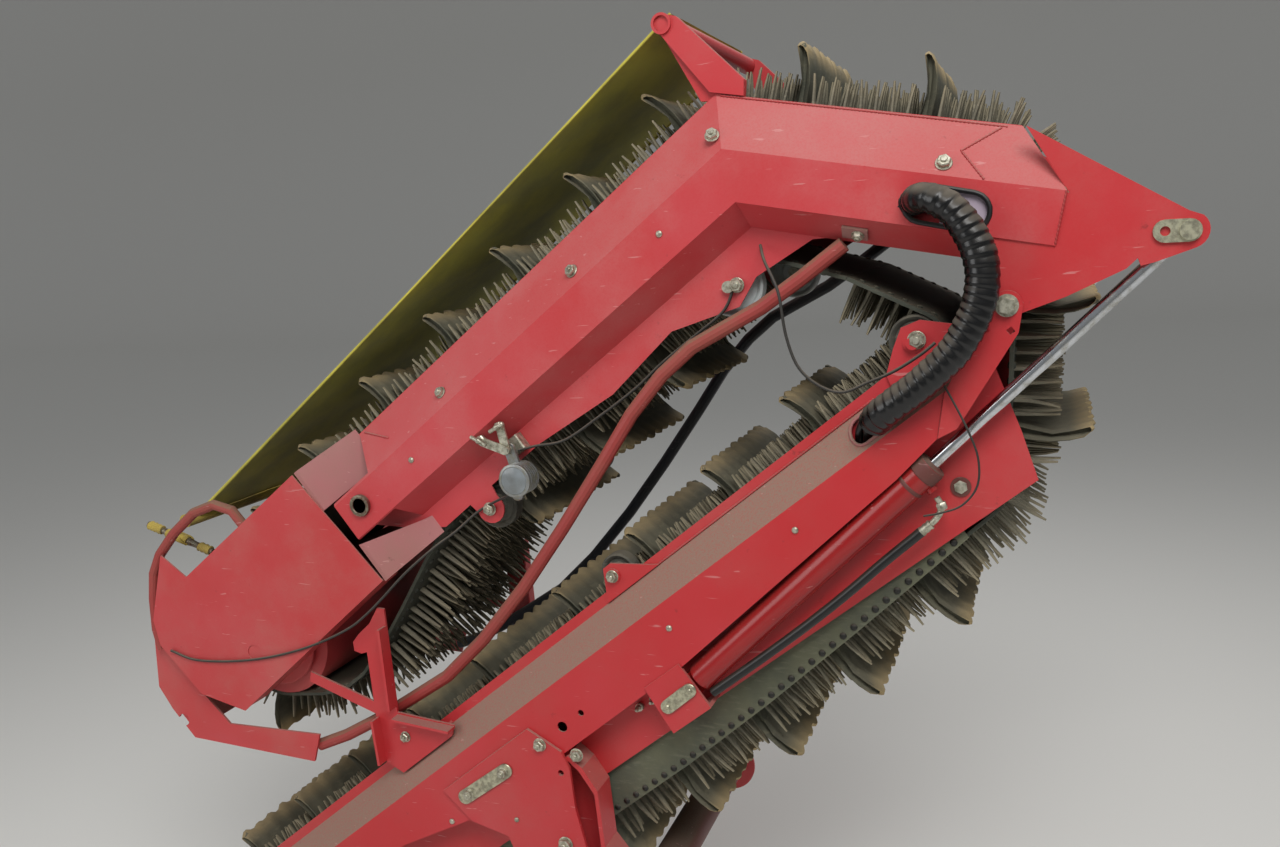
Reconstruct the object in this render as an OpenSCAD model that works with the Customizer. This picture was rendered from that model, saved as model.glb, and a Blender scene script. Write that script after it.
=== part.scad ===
// Folding discharge elevator: a main arm, a bent neck folded back over it, two lift
// cylinders and a fingered belt with flights. The arm stands in the XZ plane, the base
// pivot is the origin, +Y points away from the viewer's side, and the neck is folded.

/* [Arm] */
// Slope of the main arm above the horizontal, in degrees
arm_slope = 37.3; // [30:0.1:45]
// Distance along the arm from the base pivot to the fold pivot
pivot_back = 1450; // [1420:5:1480]
// Distance across the arm from the base pivot up to the fold pivot
pivot_drop = 590; // [580:5:620]
// Length of the arm from the fold pivot to its base end
arm_length = 2560; // [2400:10:2700]
// Height of the side plate's top lip above the fold pivot
lip_up = 30; // [26:1:34]
// Depth of the side plate's bottom edge below the fold pivot
arm_depth = 292; // [285:1:300]

/* [Neck] */
// Downward tilt of the neck's first leg when folded, in degrees
neck_tilt = 11.4; // [10:0.1:12]
// Angle between the two legs' directions, in degrees
neck_bend = 48.1; // [46:0.1:50]
// Length of the first leg from the fold pivot to the outer corner
leg1_length = 601; // [590:1:610]
// Height of the neck's top edge above the fold pivot
neck_top = 307; // [300:1:312]
// Length of the second leg's side plate
leg2_length = 1130; // [1120:1:1140]

/* [Sides] */
// Distance of each side plate's inner face from the middle
web_y = 318; // [314:1:319]
// Thickness of the side plates
web_t = 4; // [3:0.5:4]
// Distance of the box sections' outer faces from the middle
box_y = 390; // [388:1:394]
// Thickness of the folded box sheets
sheet_t = 4; // [3:0.5:5]
// Thickness of the hinge and tail plates
plate_t = 8; // [6:1:9]

/* [Fold pivot] */
// Diameter of the fold pins
fold_pin_d = 30; // [24:1:32]
// Distance of the rod pin from the fold pivot along the neck
rod_pin_x = 257; // [250:1:262]
// Height of the rod pin above the fold pivot
rod_pin_y = 166; // [162:1:170]

/* [Cylinder] */
// Outer diameter of the cylinder barrel
barrel_d = 60; // [52:1:61]
// Diameter of the chromed rod
rod_d = 25; // [20:1:30]
// Distance of the cylinder's axis plane from the middle
cyl_y = 360; // [358:0.5:361]
// Length of the barrel from its base pin to the gland's face
barrel_len = 701; // [690:1:710]
// Width of the cylinder's eyes
eye_w = 24; // [20:1:25]
// Diameter of the cylinder's pins
cyl_pin_d = 30; // [26:1:32]

/* [Belt] */
// Width of the belt
belt_w = 600; // [560:5:604]
// Thickness of the belt
belt_t = 8; // [7:0.5:9]
// Length of the belt's fingers
finger_len = 90; // [70:1:95]
// Height of the flights
flight_len = 148; // [120:1:150]
// Width of the fingers' and flights' rows
row_w = 500; // [450:5:512]
// Spacing of the flights along the belt
flight_pitch = 238; // [220:1:250]
// Finger rows between one flight and the next
rows_per_flight = 4; // [3:1:5]

/* [Rollers] */
// Radius of the head drum under the belt
head_drum_r = 142; // [130:1:142]
// Radius of the base drum under the belt
base_drum_r = 110; // [100:1:112]
// Radius of the rollers under the outer run
support_r = 42; // [36:1:44]
// Radius of the arm's end roller
end_roller_r = 77; // [70:1:77]
// Diameter of the roller axles
axle_d = 30; // [24:1:32]

/* [Base pivot] */
// Bore of the base pivot tube
pivot_bore_d = 60; // [50:1:64]
// Outer diameter of the base pivot tube
pivot_tube_d = 90; // [84:1:96]

/* [Guards] */
// Diameter of the long guard tubes
guard_d = 30; // [26:1:34]
// Diameter of the hoop over the head
hoop_d = 25; // [22:1:28]

/* [Hidden] */
$fn = 48;

web_out = web_y + web_t;
// Fold pivot in the part's frame
fold_x = pivot_back * cos(arm_slope) - pivot_drop * sin(arm_slope);
fold_z = pivot_back * sin(arm_slope) + pivot_drop * cos(arm_slope);
// Hinge and tail plate layers, from the middle outwards
tail_y = box_y - sheet_t - plate_t;
strap_y = box_y;

red = [0.72, 0.10, 0.11];
dark_red = [0.52, 0.08, 0.08];
dusty_red = [0.66, 0.36, 0.33];
zinc = [0.72, 0.72, 0.66];
rubber = [0.20, 0.21, 0.18];
dusty_rubber = [0.36, 0.36, 0.30];
canvas_colour = [0.52, 0.52, 0.12];
chrome_colour = [0.80, 0.82, 0.85];

// Places the main arm's frame: x along the arm to the fold pivot, z to the fold side
module on_arm() translate([fold_x, 0, fold_z]) rotate([0, -arm_slope, 0]) children();
// Places the neck's first leg: x along the leg away from the corner, z to the outer side
module on_neck() translate([fold_x, 0, fold_z]) rotate([0, neck_tilt, 0]) children();

// Second leg's frame inside the neck's: x towards the head, y outwards
leg2_dir = 180 + neck_bend;
function leg2(x, y) = [
  -leg1_length + x * cos(leg2_dir) + y * cos(leg2_dir - 90),
  neck_top + x * sin(leg2_dir) + y * sin(leg2_dir - 90)
];
function leg2_points(points) = [for (p = points) leg2(p[0], p[1])];

// Extrudes an XZ outline across Y from depth a to depth b
module across(a, b) translate([0, b, 0]) rotate([90, 0, 0]) linear_extrude(height = b - a) children();
// The same on one side: side is -1 for the near side and 1 for the far side
module slab(side, inner, outer) {
  if (side < 0) across(-outer, -inner) children();
  else across(inner, outer) children();
}
// Round bar along Y at a place in the XZ plane
module bar(p, d, a, b) translate([p[0], b, p[1]]) rotate([90, 0, 0]) cylinder(d = d, h = b - a);
module side_bar(side, p, d, inner, outer) {
  if (side < 0) bar(p, d, -outer, -inner);
  else bar(p, d, inner, outer);
}
module tube_y(p, d, bore, a, b) {
  difference() {
    bar(p, d, a, b);
    bar(p, bore, a - 1, b + 1);
  }
}
// Flat strip with round ends between two points
module strip(a, b, w) {
  angle = atan2(b[1] - a[1], b[0] - a[0]);
  polygon(concat(arc(a, w / 2, angle + 90, angle + 270, 8), arc(b, w / 2, angle - 90, angle + 90, 8)));
}
// Band of sheet along a line of points, growing to the line's left by t
function left_of(p, i) = let (d = p[min(i + 1, len(p) - 1)] - p[max(i - 1, 0)]) [-d[1], d[0]] / norm(d);
module band(p, t) {
  polygon(concat(p, [for (i = [len(p) - 1:-1:0]) p[i] + t * left_of(p, i)]));
}

// Swept tube along a route of 3D points
function unit(v) = v / norm(v);
function route_dir(p, i) = unit(p[min(i + 1, len(p) - 1)] - p[max(i - 1, 0)]);
function route_side(t) = abs(t[1]) > 0.95 ? unit(cross(t, [0, 0, 1])) : unit(cross(t, [0, 1, 0]));
module sweep(points, d, sides) {
  n = len(points);
  ring = [for (i = [0:n - 1])
    let (t = route_dir(points, i), u = route_side(t), v = cross(t, u))
    for (k = [0:sides - 1]) points[i] + d / 2 * (u * cos(360 * k / sides) + v * sin(360 * k / sides))];
  walls = [for (i = [0:n - 2]) for (k = [0:sides - 1])
    [i * sides + k, (i + 1) * sides + k, (i + 1) * sides + (k + 1) % sides, i * sides + (k + 1) % sides]];
  first = [for (k = [0:sides - 1]) k];
  last = [for (k = [sides - 1:-1:0]) (n - 1) * sides + k];
  polyhedron(points = ring, faces = concat(walls, [first], [last]), convexity = 6);
}
// Rounds a route: each inner corner gives way to a short curve of a few points
function round_route(p, k = 3) = [
  p[0],
  for (i = [1:len(p) - 2])
    let (a = (p[i - 1] + p[i]) / 2, b = (p[i] + p[i + 1]) / 2)
    for (j = [0:k]) let (s = j / k) (1 - s) * (1 - s) * a + 2 * s * (1 - s) * p[i] + s * s * b,
  p[len(p) - 1]
];
// Drops points that repeat the one before
function thin(p) = [for (i = [0:len(p) - 1]) if (i == 0 || norm(p[i] - p[max(i - 1, 0)]) > 0.5) p[i]];

// Belt outline: a route along the belt's outer face, with fingers and flights on its left
function route_lengths(p) = [
  for (i = 0, s = 0; i < len(p); s = s + (i + 1 < len(p) ? norm(p[i + 1] - p[i]) : 0), i = i + 1) s
];
function on_route(p, d, s) = let (q = min(max(s, 0), d[len(d) - 1])) [
  lookup(q, [for (i = [0:len(p) - 1]) [d[i], p[i][0]]]),
  lookup(q, [for (i = [0:len(p) - 1]) [d[i], p[i][1]]])
];
function off_route(p, d, s, h) =
  let (t = unit(on_route(p, d, s + 6) - on_route(p, d, s - 6))) on_route(p, d, s) + h * [-t[1], t[0]];
// One row's outline: x along the belt, y away from it
finger_shape = [[-9, -1], [-3, finger_len], [3, finger_len], [9, -1]];
flight_shape = [[-14, -1], [4, flight_len * 0.55], [-16, flight_len], [-6, flight_len], [16, flight_len * 0.55], [10, -1]];
function row(p, d, s, shape) =
  let (c = on_route(p, d, s), t = unit(on_route(p, d, s + 15) - on_route(p, d, s - 15)))
  [for (q = shape) c + q[0] * t + q[1] * [-t[1], t[0]]];
row_step = flight_pitch / rows_per_flight;
// Rows of a span [start, end, first flight, with flights] that stand between two distances
module belt_rows(p, span, from, to) {
  d = route_lengths(p);
  low = max(0, ceil((from - span[0]) / row_step));
  high = floor((min(span[1], to) - span[0]) / row_step);
  start = span[0] + low * row_step;
  stop = span[0] + high * row_step;
  root = -0.8 * belt_t;
  if (low <= high) polygon(concat(
    [off_route(p, d, start - 16, root)],
    [for (i = [low:high]) each row(p, d, span[0] + i * row_step,
      span[3] == 1 && (i + span[2]) % rows_per_flight == 0 ? flight_shape : finger_shape)],
    [off_route(p, d, stop + 16, root)],
    [for (i = [len(p) - 1:-1:0]) if (d[i] > start - 15 && d[i] < stop + 15) off_route(p, d, d[i], root)]
  ));
}
module belt_strap(p, from, to) {
  d = route_lengths(p);
  stops = concat([from], [for (s = d) if (s > from + 1 && s < to - 1) s], [to]);
  polygon(concat(
    [for (s = stops) on_route(p, d, s)],
    [for (i = [len(stops) - 1:-1:0]) off_route(p, d, stops[i], -belt_t)]
  ));
}
function route_end(p) = let (d = route_lengths(p)) d[len(d) - 1];
// A stretch of belt between two distances along its route, with its rows
module belt(p, spans, from, to) {
  across(-belt_w / 2, belt_w / 2) belt_strap(p, from, to);
  for (s = spans) across(-row_w / 2, row_w / 2) belt_rows(p, s, from, to);
}
// Distance halfway between two rows, near a wanted distance, where two stretches meet
function row_gap(start, wanted) = start + (floor((wanted - start) / row_step) + 0.5) * row_step;
// Points on an arc about c from angle a to angle b
function arc(c, r, a, b, n) = [for (i = [0:n]) c + r * [cos(a + (b - a) * i / n), sin(a + (b - a) * i / n)]];

// Places along the arm
arm_end = [-278, -221];
base_end = [-(arm_length - 110), -150];
hold_wheel = [-176, 48];
hold_wheel_r = 50;
guide_wheel = [-981, 49];
guide_wheel_r = 40;
cyl_base = [-982, -233];
cradle_foot = [-1600, 8];
cross_spots = [[-620, -150], [-1200, -165], [-1900, -150]];

// Places along the neck
neck_end = [-90, 215];
bend_roller = [-579, 229];
roller_spots = [leg2(437, -74), leg2(850, -74), leg2(1235, -80)];
head_axis = leg2(1690, -235);
bend_wheel = [-521, -53];
bend_wheel_r = 62;
dark_wheel = leg2(955, -330);
dark_wheel_r = 52;
rod_pin = [rod_pin_x, rod_pin_y];

// Side plate of the main arm
arm_outline = concat(
  [[-arm_length, lip_up]],
  arc([0, 0], 30, 90, -60, 8),
  [[-91, -82], [-127, -203], [-159, -arm_depth], [60 - arm_length, -arm_depth], [-arm_length, -210]]
);
module arm_web(side) {
  color(red) on_arm() slab(side, web_y, web_out) difference() {
    polygon(arm_outline);
    circle(d = fold_pin_d + 0.1);
    translate(arm_end) circle(d = axle_d + 0.1);
    translate(base_end) circle(d = axle_d + 10.1);
    translate(cyl_base) circle(d = cyl_pin_d + 0.1);
  }
}
// Box section on the arm: a sloping shoulder, an outer face and a return to the side plate
box_low = [[-211, -111], [-350, -133], [-952, -186], [-1612, -196], [-1843, -150], [-arm_length, -140]];
module arm_box(side) {
  color(red) on_arm() difference() {
    union() {
      slab(side, box_y - sheet_t, box_y) difference() {
        polygon(concat([[-arm_length, -55], [-150, -55]], box_low));
        translate([-1276, -142]) circle(d = 24);
        translate([-1216, -141]) circle(d = 14);
      }
      difference() {
        slope(side, [-arm_length, -132], 8, -55);
        slab(side, web_out + 1, box_y + 1) strip([-352, -24], [-270, -24], 44);
      }
      slab(side, web_out, box_y - sheet_t) band([for (i = [2:len(box_low) - 1]) box_low[i]], -sheet_t);
    }
    side_bar(side, base_end, axle_d + 10.1, web_y, box_y + 1);
  }
}
// Sloping sheet between the side plate at height a and the outer face at height b
module slope(side, span, a, b) {
  translate([span[0], 0, 0]) rotate([90, 0, 90]) linear_extrude(height = span[1] - span[0])
    polygon([for (p = [[web_out, a], [box_y, b], [box_y - sheet_t, b], [web_out, a - sheet_t * 1.6]]) [side * p[0], p[1]]]);
}
// Outer plate that carries the fold pivot
module hinge_bracket(side) {
  color(red) on_arm() slab(side, strap_y, strap_y + plate_t) difference() {
    union() {
      polygon([[-14, 22], [-115, -26], [-180, -58], [-240, -116], [-202, -122], [-14, -50], [24, -14], [12, 22]]);
      circle(r = 26);
    }
    circle(d = fold_pin_d + 0.1);
    translate([-54, -12]) square(11, center = true);
    translate([-22, -39]) square(11, center = true);
  }
}
module hinge_pins() {
  color(zinc) on_arm() for (side = [-1, 1]) {
    side_bar(side, [0, 0], fold_pin_d, web_y - 4, strap_y + plate_t + 2);
    side_bar(side, [0, 0], 40, strap_y + plate_t, strap_y + plate_t + 4);
    translate([0, side * (strap_y + plate_t + 4 + (side < 0 ? 12 : 0)), 0]) rotate([-90, 0, 0]) cylinder(d = 30, h = 12, $fn = 6);
    side_bar(side, [0, 0], 44, web_y - 10, web_y);
    side_bar(side, [0, 0], 44, web_out, tail_y - 0.5);
    side_bar(side, [0, 0], 44, tail_y + plate_t + 0.5, strap_y);
  }
}
// Small plates on the lip that carry the belt's hold-down and guide wheels
module belt_wheel_brackets() {
  color(red) on_arm() for (side = [-1, 1]) {
    slab(side, web_out, web_out + 6) {
      polygon([[-259, 9], [-253, 31], [-212, 62], [-176, 84], [-140, 74], [-96, 28], [-102, 9]]);
      polygon([[-1033, 9], [-1022, 24], [-990, 74], [-968, 74], [-900, 24], [-878, 9]]);
    }
    side_bar(side, hold_wheel, 24, 256, web_out + 22);
    side_bar(side, hold_wheel, 38, web_out + 6, web_out + 10);
    side_bar(side, guide_wheel, 20, 256, web_out + 18);
    side_bar(side, guide_wheel, 34, web_out + 6, web_out + 10);
  }
}
module belt_wheel(side, p, r, bore) {
  difference() {
    side_bar(side, p, 2 * r, row_w / 2 + 12, row_w / 2 + 48);
    side_bar(side, p, 2 * r - 30, row_w / 2 + 42, row_w / 2 + 60);
    side_bar(side, p, bore, row_w / 2, row_w / 2 + 60);
  }
}
module arm_belt_wheels() {
  color(dusty_rubber) on_arm() for (side = [-1, 1]) {
    belt_wheel(side, hold_wheel, hold_wheel_r, 24.4);
    belt_wheel(side, guide_wheel, guide_wheel_r, 20.4);
  }
}
// Bracket that carries the base pivot below the arm
pivot = [-pivot_back, -pivot_drop];
module base_bracket(side) {
  color(red) on_arm() {
    difference() {
      union() {
        slab(side, box_y, box_y + plate_t) difference() {
          union() {
            polygon([[-1640, -100], [-1350, -100], [-1314, -184], [-1322, -224], [-1373, -301], [-1414, -389], pivot + [60, 46], pivot + [-70, 0],
                     [-1576, -301], [-1567, -270], [-1625, -196]]);
            translate(pivot) circle(r = 76);
          }
          translate([-1347, -221]) circle(d = 14);
        }
        slab(side, web_out, box_y + 1) polygon([[-1310, -200], [-1300, -240], [-1304, -300], [-1377, -410], pivot + [74, 34],
          pivot + [62, 34], [-1389, -410], [-1316, -302], [-1312, -240], [-1320, -200]]);
        slab(side, web_out, web_out + 6) polygon([[-1600, -230], [-1318, -230], [-1314, -302], [-1387, -410],
          pivot + [68, 30], pivot + [-66, 10], [-1576, -320]]);
      }
      side_bar(side, pivot, pivot_tube_d + 0.1, web_y, box_y + plate_t + 1);
    }
  }
}
module base_pivot_tube() {
  color(dark_red) on_arm() difference() {
    bar(pivot, pivot_tube_d, -box_y - plate_t - 6, box_y + plate_t + 6);
    bar(pivot, pivot_bore_d, -box_y - plate_t - 7, box_y + plate_t + 7);
  }
}
module roller(p, r, half, shaft_half) {
  bar(p, 2 * r, -half, half);
  bar(p, axle_d, -shaft_half, shaft_half);
}
module base_drum() {
  color(dark_red) on_arm() {
    bar(base_end, 2 * base_drum_r, -belt_w / 2, belt_w / 2);
    bar(base_end, axle_d + 10, -box_y - 30, box_y + 30);
    for (side = [-1, 1]) side_bar(side, base_end, 150, box_y, box_y + 16);
  }
}
module arm_end_roller() {
  color(dark_red) on_arm() {
    roller(arm_end, end_roller_r, belt_w / 2, web_out);
    for (side = [-1, 1]) side_bar(side, arm_end, 38, web_out, web_out + 3);
  }
}
module arm_cross_tubes() {
  color(dark_red) on_arm() for (p = cross_spots) tube_y(p, 60, 50, -web_y, web_y);
}
// Rest for the folded head: a gusset on the shoulder, an upright with a lug and a diagonal
cradle_y = web_out + 30;
module cradle(side) {
  color(red) on_arm() {
    slab(side, cradle_y, cradle_y + 6) {
      polygon([[-1764, 37], [-1703, 136], [-1647, 108], [-1536, 3], [-1560, -14], [-1740, -14]]);
      polygon([[-1703, 136], [-1647, 108], [-1498, 316], [-1512, 328], [-1586, 302]]);
      polygon([[-1650, 112], [-1700, 136], [-1806, 300], [-1786, 316]]);
      polygon([[-1560, 270], [-1612, 264], [-1628, 270], [-1640, 286], [-1628, 304], [-1600, 310], [-1560, 312]]);
    }
    slab(side, web_out, cradle_y + 3) polygon([[-1738, 9], [-1562, 9], [-1562, 15], [-1738, 15]]);
    slab(side, cradle_y + 3, cradle_y + 36) polygon([[-1703, 130], [-1697, 127], [-1758, 34], [-1764, 37]]);
    slab(side, cradle_y + 3, cradle_y + 36) polygon([[-1648, 104], [-1652, 100], [-1541, -4], [-1537, 1]]);
    slab(side, cradle_y + 3, cradle_y + 36) polygon([[-1643, 124], [-1637, 120], [-1521, 282], [-1527, 286]]);
  }
}
// Cylinder base: an anchor piece over the recess, with a pin and a keeper
module cylinder_anchors() {
  color(red) on_arm() for (side = [-1, 1]) {
    difference() {
      union() {
        slab(side, box_y - sheet_t, box_y + 4) polygon([[-1052, -190], [-951, -190], [-953, -280], [-1060, -280]]);
        slab(side, box_y, box_y + 4) polygon([[-1052, -193], [-1050, -176], [-951, -176], [-951, -193]]);
      }
      side_bar(side, cyl_base, cyl_pin_d + 0.1, box_y - 10, box_y + 10);
    }
    slab(side, web_out, box_y - sheet_t) polygon([[-1060, -280], [-953, -280], [-953, -288], [-1060, -288]]);
    slab(side, box_y - sheet_t, box_y + 4) polygon([[-1060, -280], [-953, -280], [-953, -288], [-1060, -288]]);
  }
}
module cylinder_pins() {
  color(zinc) on_arm() for (side = [-1, 1]) {
    side_bar(side, cyl_base, cyl_pin_d, web_y - 6, box_y + 10);
    slab(side, box_y + 4, box_y + 10) strip(cyl_base, cyl_base + [-48, -2], 30);
  }
}
// Lower belt: from the end roller along the bottom, round the base drum and back on the
// fold side to the hold-down wheel
function backwards(p) = [for (i = [len(p) - 1:-1:0]) p[i]];
lower_route = concat(
  arc(arm_end, end_roller_r + belt_t + 1, -40, -92, 6),
  [[-430, -318], [-629, -338], [-881, -360], [-1126, -374], [-1361, -378], [-1560, -372], [-1800, -350],
   [-2100, -312], [-2300, -285]],
  arc(base_end, base_drum_r + belt_t + 1, -88, -272, 18),
  [[-2200, -36], [-1700, -40], [-1200, -38], [-800, -32], [-520, -22], [-300, -10]],
  arc(hold_wheel, hold_wheel_r + 1, -91, -40, 5)
);
lower_end = route_end(lower_route);
lower_spans = [[100, 3140, 1, 1], [3200, 3700, 1, 1], [3740, lower_end - 190, 1, 1]];
lower_cuts = [0, row_gap(100, 1130), row_gap(100, 2200), row_gap(100, 2670), row_gap(3740, 4530), lower_end];
// Stretches that pass round a roller, a drum or a wheel
module belt_lower_turns() {
  color(rubber) on_arm() for (i = [0, 2, 4]) belt(lower_route, lower_spans, lower_cuts[i], lower_cuts[i + 1]);
}
// Free stretches between them
module belt_lower_runs() {
  color(rubber) on_arm() for (i = [1, 3]) belt(lower_route, lower_spans, lower_cuts[i], lower_cuts[i + 1]);
}

// Side plate of the neck
neck_outline = concat(
  [[30, 78], [57, 197], [-37, neck_top], [-leg1_length, neck_top]],
  leg2_points(concat(
    [[leg2_length, 0], [1284, -20], [1284, -140], [leg2_length + 20, -250], [1079, -296], [992, -294]],
    arc([955, -330], 34, 20, -200, 10),
    [[918, -292], [760, -291], [553, -313], [366, -293], [223, -344], [160, -320]]
  )),
  [[-372, 61], [-300, 78]]
);
module neck_web(side) {
  color(red) on_neck() slab(side, web_y, web_out) difference() {
    polygon(neck_outline);
    translate(neck_end) circle(d = axle_d + 0.1);
    translate(bend_roller) circle(d = axle_d + 0.1);
    for (p = roller_spots) translate(p) circle(d = axle_d + 0.1);
    translate(bend_wheel) circle(d = 24.1);
    translate(dark_wheel) circle(d = 24.1);
    translate(rust_tube) circle(d = 50.1);
  }
}
// Box section on the neck: two sloping sheets and an outer face, mitred at the bend
face_top = 102;
face_low = 195;
foot_low = 240;
function hat_section() = [
  [web_out, -1], [box_y, -face_top], [box_y, -face_low], [web_out, -foot_low],
  [web_out, -foot_low + 5], [box_y - sheet_t, -face_low + 2], [box_y - sheet_t, -face_top - 2], [web_out, -6]
];
module hat_leg(side, length) {
  rotate([90, 0, 90]) linear_extrude(height = length) polygon([for (p = hat_section()) [side * p[0], p[1]]]);
}
// Half planes on either side of the mitre through the outer corner
mitre = 90 + neck_bend / 2;
module leg1_half() across(-500, 500) polygon([[-leg1_length, neck_top], [-leg1_length, neck_top] + 900 * [cos(mitre - 180), sin(mitre - 180)], [600, -600], [600, 800], [-leg1_length, neck_top] + 600 * [cos(mitre), sin(mitre)]]);
rust_tube = leg2(1180, -141);
module neck_box(side) {
  color(red) on_neck() difference() {
    union() {
      intersection() {
        translate([-leg1_length - 300, 0, neck_top]) hat_leg(side, leg1_length + 358);
        leg1_half();
      }
      difference() {
        translate([-leg1_length, 0, neck_top]) rotate([0, -leg2_dir, 0]) mirror([0, 0, 1])
          translate([-300, 0, 0]) hat_leg(side, 1243 + 300);
        leg1_half();
      }
    }
    slab(side, box_y - 20, box_y + 20) strip([-175, 153], [-91, 150], 66);
    slab(side, web_y, box_y + 20) polygon([[-37, neck_top + 1], [59, 204], [100, 204], [100, neck_top + 1]]);
    slab(side, web_y - 10, box_y - sheet_t) polygon(leg2_points([[1116, 30], [1260, 30], [1260, -400], [1110, -400], [1110, -240], [1116, -190]]));
    slab(side, tail_y - 0.2, box_y - sheet_t) polygon([[-63, 90], [70, 90], [70, 120], [-63, 120]]);
    side_bar(side, rust_tube, 50.1, box_y - 30, box_y + 10);
  }
}
// Plate behind the box that carries the fold pivot and the rod's pin
module tail_plate(side) {
  color(red) on_neck() slab(side, tail_y, tail_y + plate_t) difference() {
    polygon(concat(
      [[-60, 112], [-60, 200], [62, 202], [-28, 303], [-20, 300], [250, 197]],
      arc(rod_pin, 31, 60, -60, 8),
      [[217, 107], [197, 98], [190, 110], [176, 90], [92, 29]],
      arc([0, 0], 27, -25, -165, 8),
      [[-39, 101]]
    ));
    circle(d = fold_pin_d + 0.1);
  }
}
module rod_pin_keepers() {
  color(zinc) on_neck() for (side = [-1, 1]) {
    slab(side, tail_y + plate_t, tail_y + plate_t + 6) difference() {
      strip(rod_pin, rod_pin + [-36, -7], 38);
      translate(rod_pin + [-36, -7]) circle(d = 16);
    }
    side_bar(side, rod_pin, 32, tail_y + plate_t + 6, tail_y + plate_t + 12);
  }
}
// Arms at the bend with the cross tube that holds the canvas
module canvas_frame() {
  color(red) on_neck() {
    for (side = [-1, 1]) slab(side, web_y - 10, web_y) polygon([[-726, 443], [-699, 440], [-548, 338], [-544, 300], [-630, 290], [-725, 403], [-748, 425]]);
    for (side = [-1, 1]) slab(side, web_out, web_out + 8) polygon([[-726, 443], [-699, 440], [-548, 338], [-544, neck_top + 1], [-612, neck_top + 1], [-725, 403], [-748, 425]]);
    tube_y([-726, 424], 40, 30, -web_out - 14, web_out + 14);
  }
}
canvas_route = [[-20, 195], [240, 188], [560, 180], [860, 172], [1160, 166], [1460, 160], [1698.7, 156]];
module canvas() {
  color(canvas_colour) on_neck() across(-270, 270) polygon(concat(
    leg2_points([for (p = canvas_route) p + [0, 3]]),
    leg2_points([for (i = [len(canvas_route) - 1:-1:0]) canvas_route[i] - [0, 3]])
  ));
}
module canvas_bar() {
  color(canvas_colour) on_neck() bar(leg2(1716, 156), 34, -300, 300);
}
// Cover over the head and the sloping plates that join it to the side plates
cover_outline = [[1285, 20], [1255, -305], [1825, -328], [1911, -224], [1930, -60], [1900, 0], [1754, 106], [1728, 21]];
module head_cover(side) {
  color(red) on_neck() {
    slab(side, box_y, box_y + sheet_t) difference() {
      polygon(leg2_points(cover_outline));
      translate(head_axis) circle(d = axle_d + 10.1);
    }
    slab(side, web_y, box_y + 2) polygon(leg2_points([[1262, -303], [1820, -325], [1820, -320], [1262, -298]]));
  }
}
module on_leg2() on_neck() translate([-leg1_length, 0, neck_top]) rotate([0, -leg2_dir, 0]) mirror([0, 0, 1]) children();
// Sheet that runs from the side plate out to the cover, trimmed to an outline
module joint_plate(side, start, outline) {
  intersection() {
    on_leg2() translate([0, 0, -400]) linear_extrude(height = 450)
      polygon([for (p = [[start, web_out], [start + 152, box_y], [start + 142, box_y], [start - 10, web_out]]) [p[0], side * p[1]]]);
    on_neck() slab(side, web_out - 1, box_y - 0.2) polygon(leg2_points(outline));
  }
}
module head_joint_plates() {
  color(dusty_red) for (side = [-1, 1]) {
    joint_plate(side, 1128, [[1100, 14], [1300, 22], [1275, -92], [1100, -84]]);
    joint_plate(side, 1100, [[1060, -300], [1300, -312], [1300, -198], [1254, -205], [1112, -250], [1060, -262]]);
  }
}
module head_drum() {
  color(red) on_neck() {
    bar(head_axis, 2 * head_drum_r, -belt_w / 2, belt_w / 2);
    bar(head_axis, axle_d + 10, -box_y - 14, box_y + 14);
    for (side = [-1, 1]) {
      side_bar(side, head_axis, 224, belt_w / 2 + 8, belt_w / 2 + 18);
      side_bar(side, head_axis, 110, belt_w / 2 + 18, box_y);
      side_bar(side, head_axis, 70, box_y + sheet_t, box_y + sheet_t + 6);
    }
  }
}
// Hoop over the head and the folded guard plate at the tip
hoop_route = [[1500, 10], [1503, 65], [1537, 107], [1602, 128], [1693, 127], [1770, 114], [1824, 90], [1873, 44], [1924, -17], [1948, -66]];
module tip_hoops() {
  color(red) on_neck() for (side = [-1, 1])
    sweep([for (p = hoop_route) let (q = leg2(p[0], p[1])) [q[0], side * (box_y - hoop_d / 2 - 0.3), q[1]]], hoop_d, 12);
}
guard_outer = [[1950, -12], [2050, -130], [2056, -199], [2050, -293], [1767, -532], [1704, -488], [1924, -325], [1952, -110]];
guard_y = box_y - hoop_d - 5.8;
module tip_guard() {
  color(red) on_neck() {
    for (side = [-1, 1]) slab(side, guard_y, guard_y + 6) difference() {
      polygon(leg2_points(guard_outer));
      translate(leg2(2046, -239)) circle(r = 16);
    }
    across(-guard_y, guard_y) polygon(leg2_points([[2036, -140], [2047, -196], [2042, -280], [2036, -280], [2041, -196], [2030, -140]]));
  }
}
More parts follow.
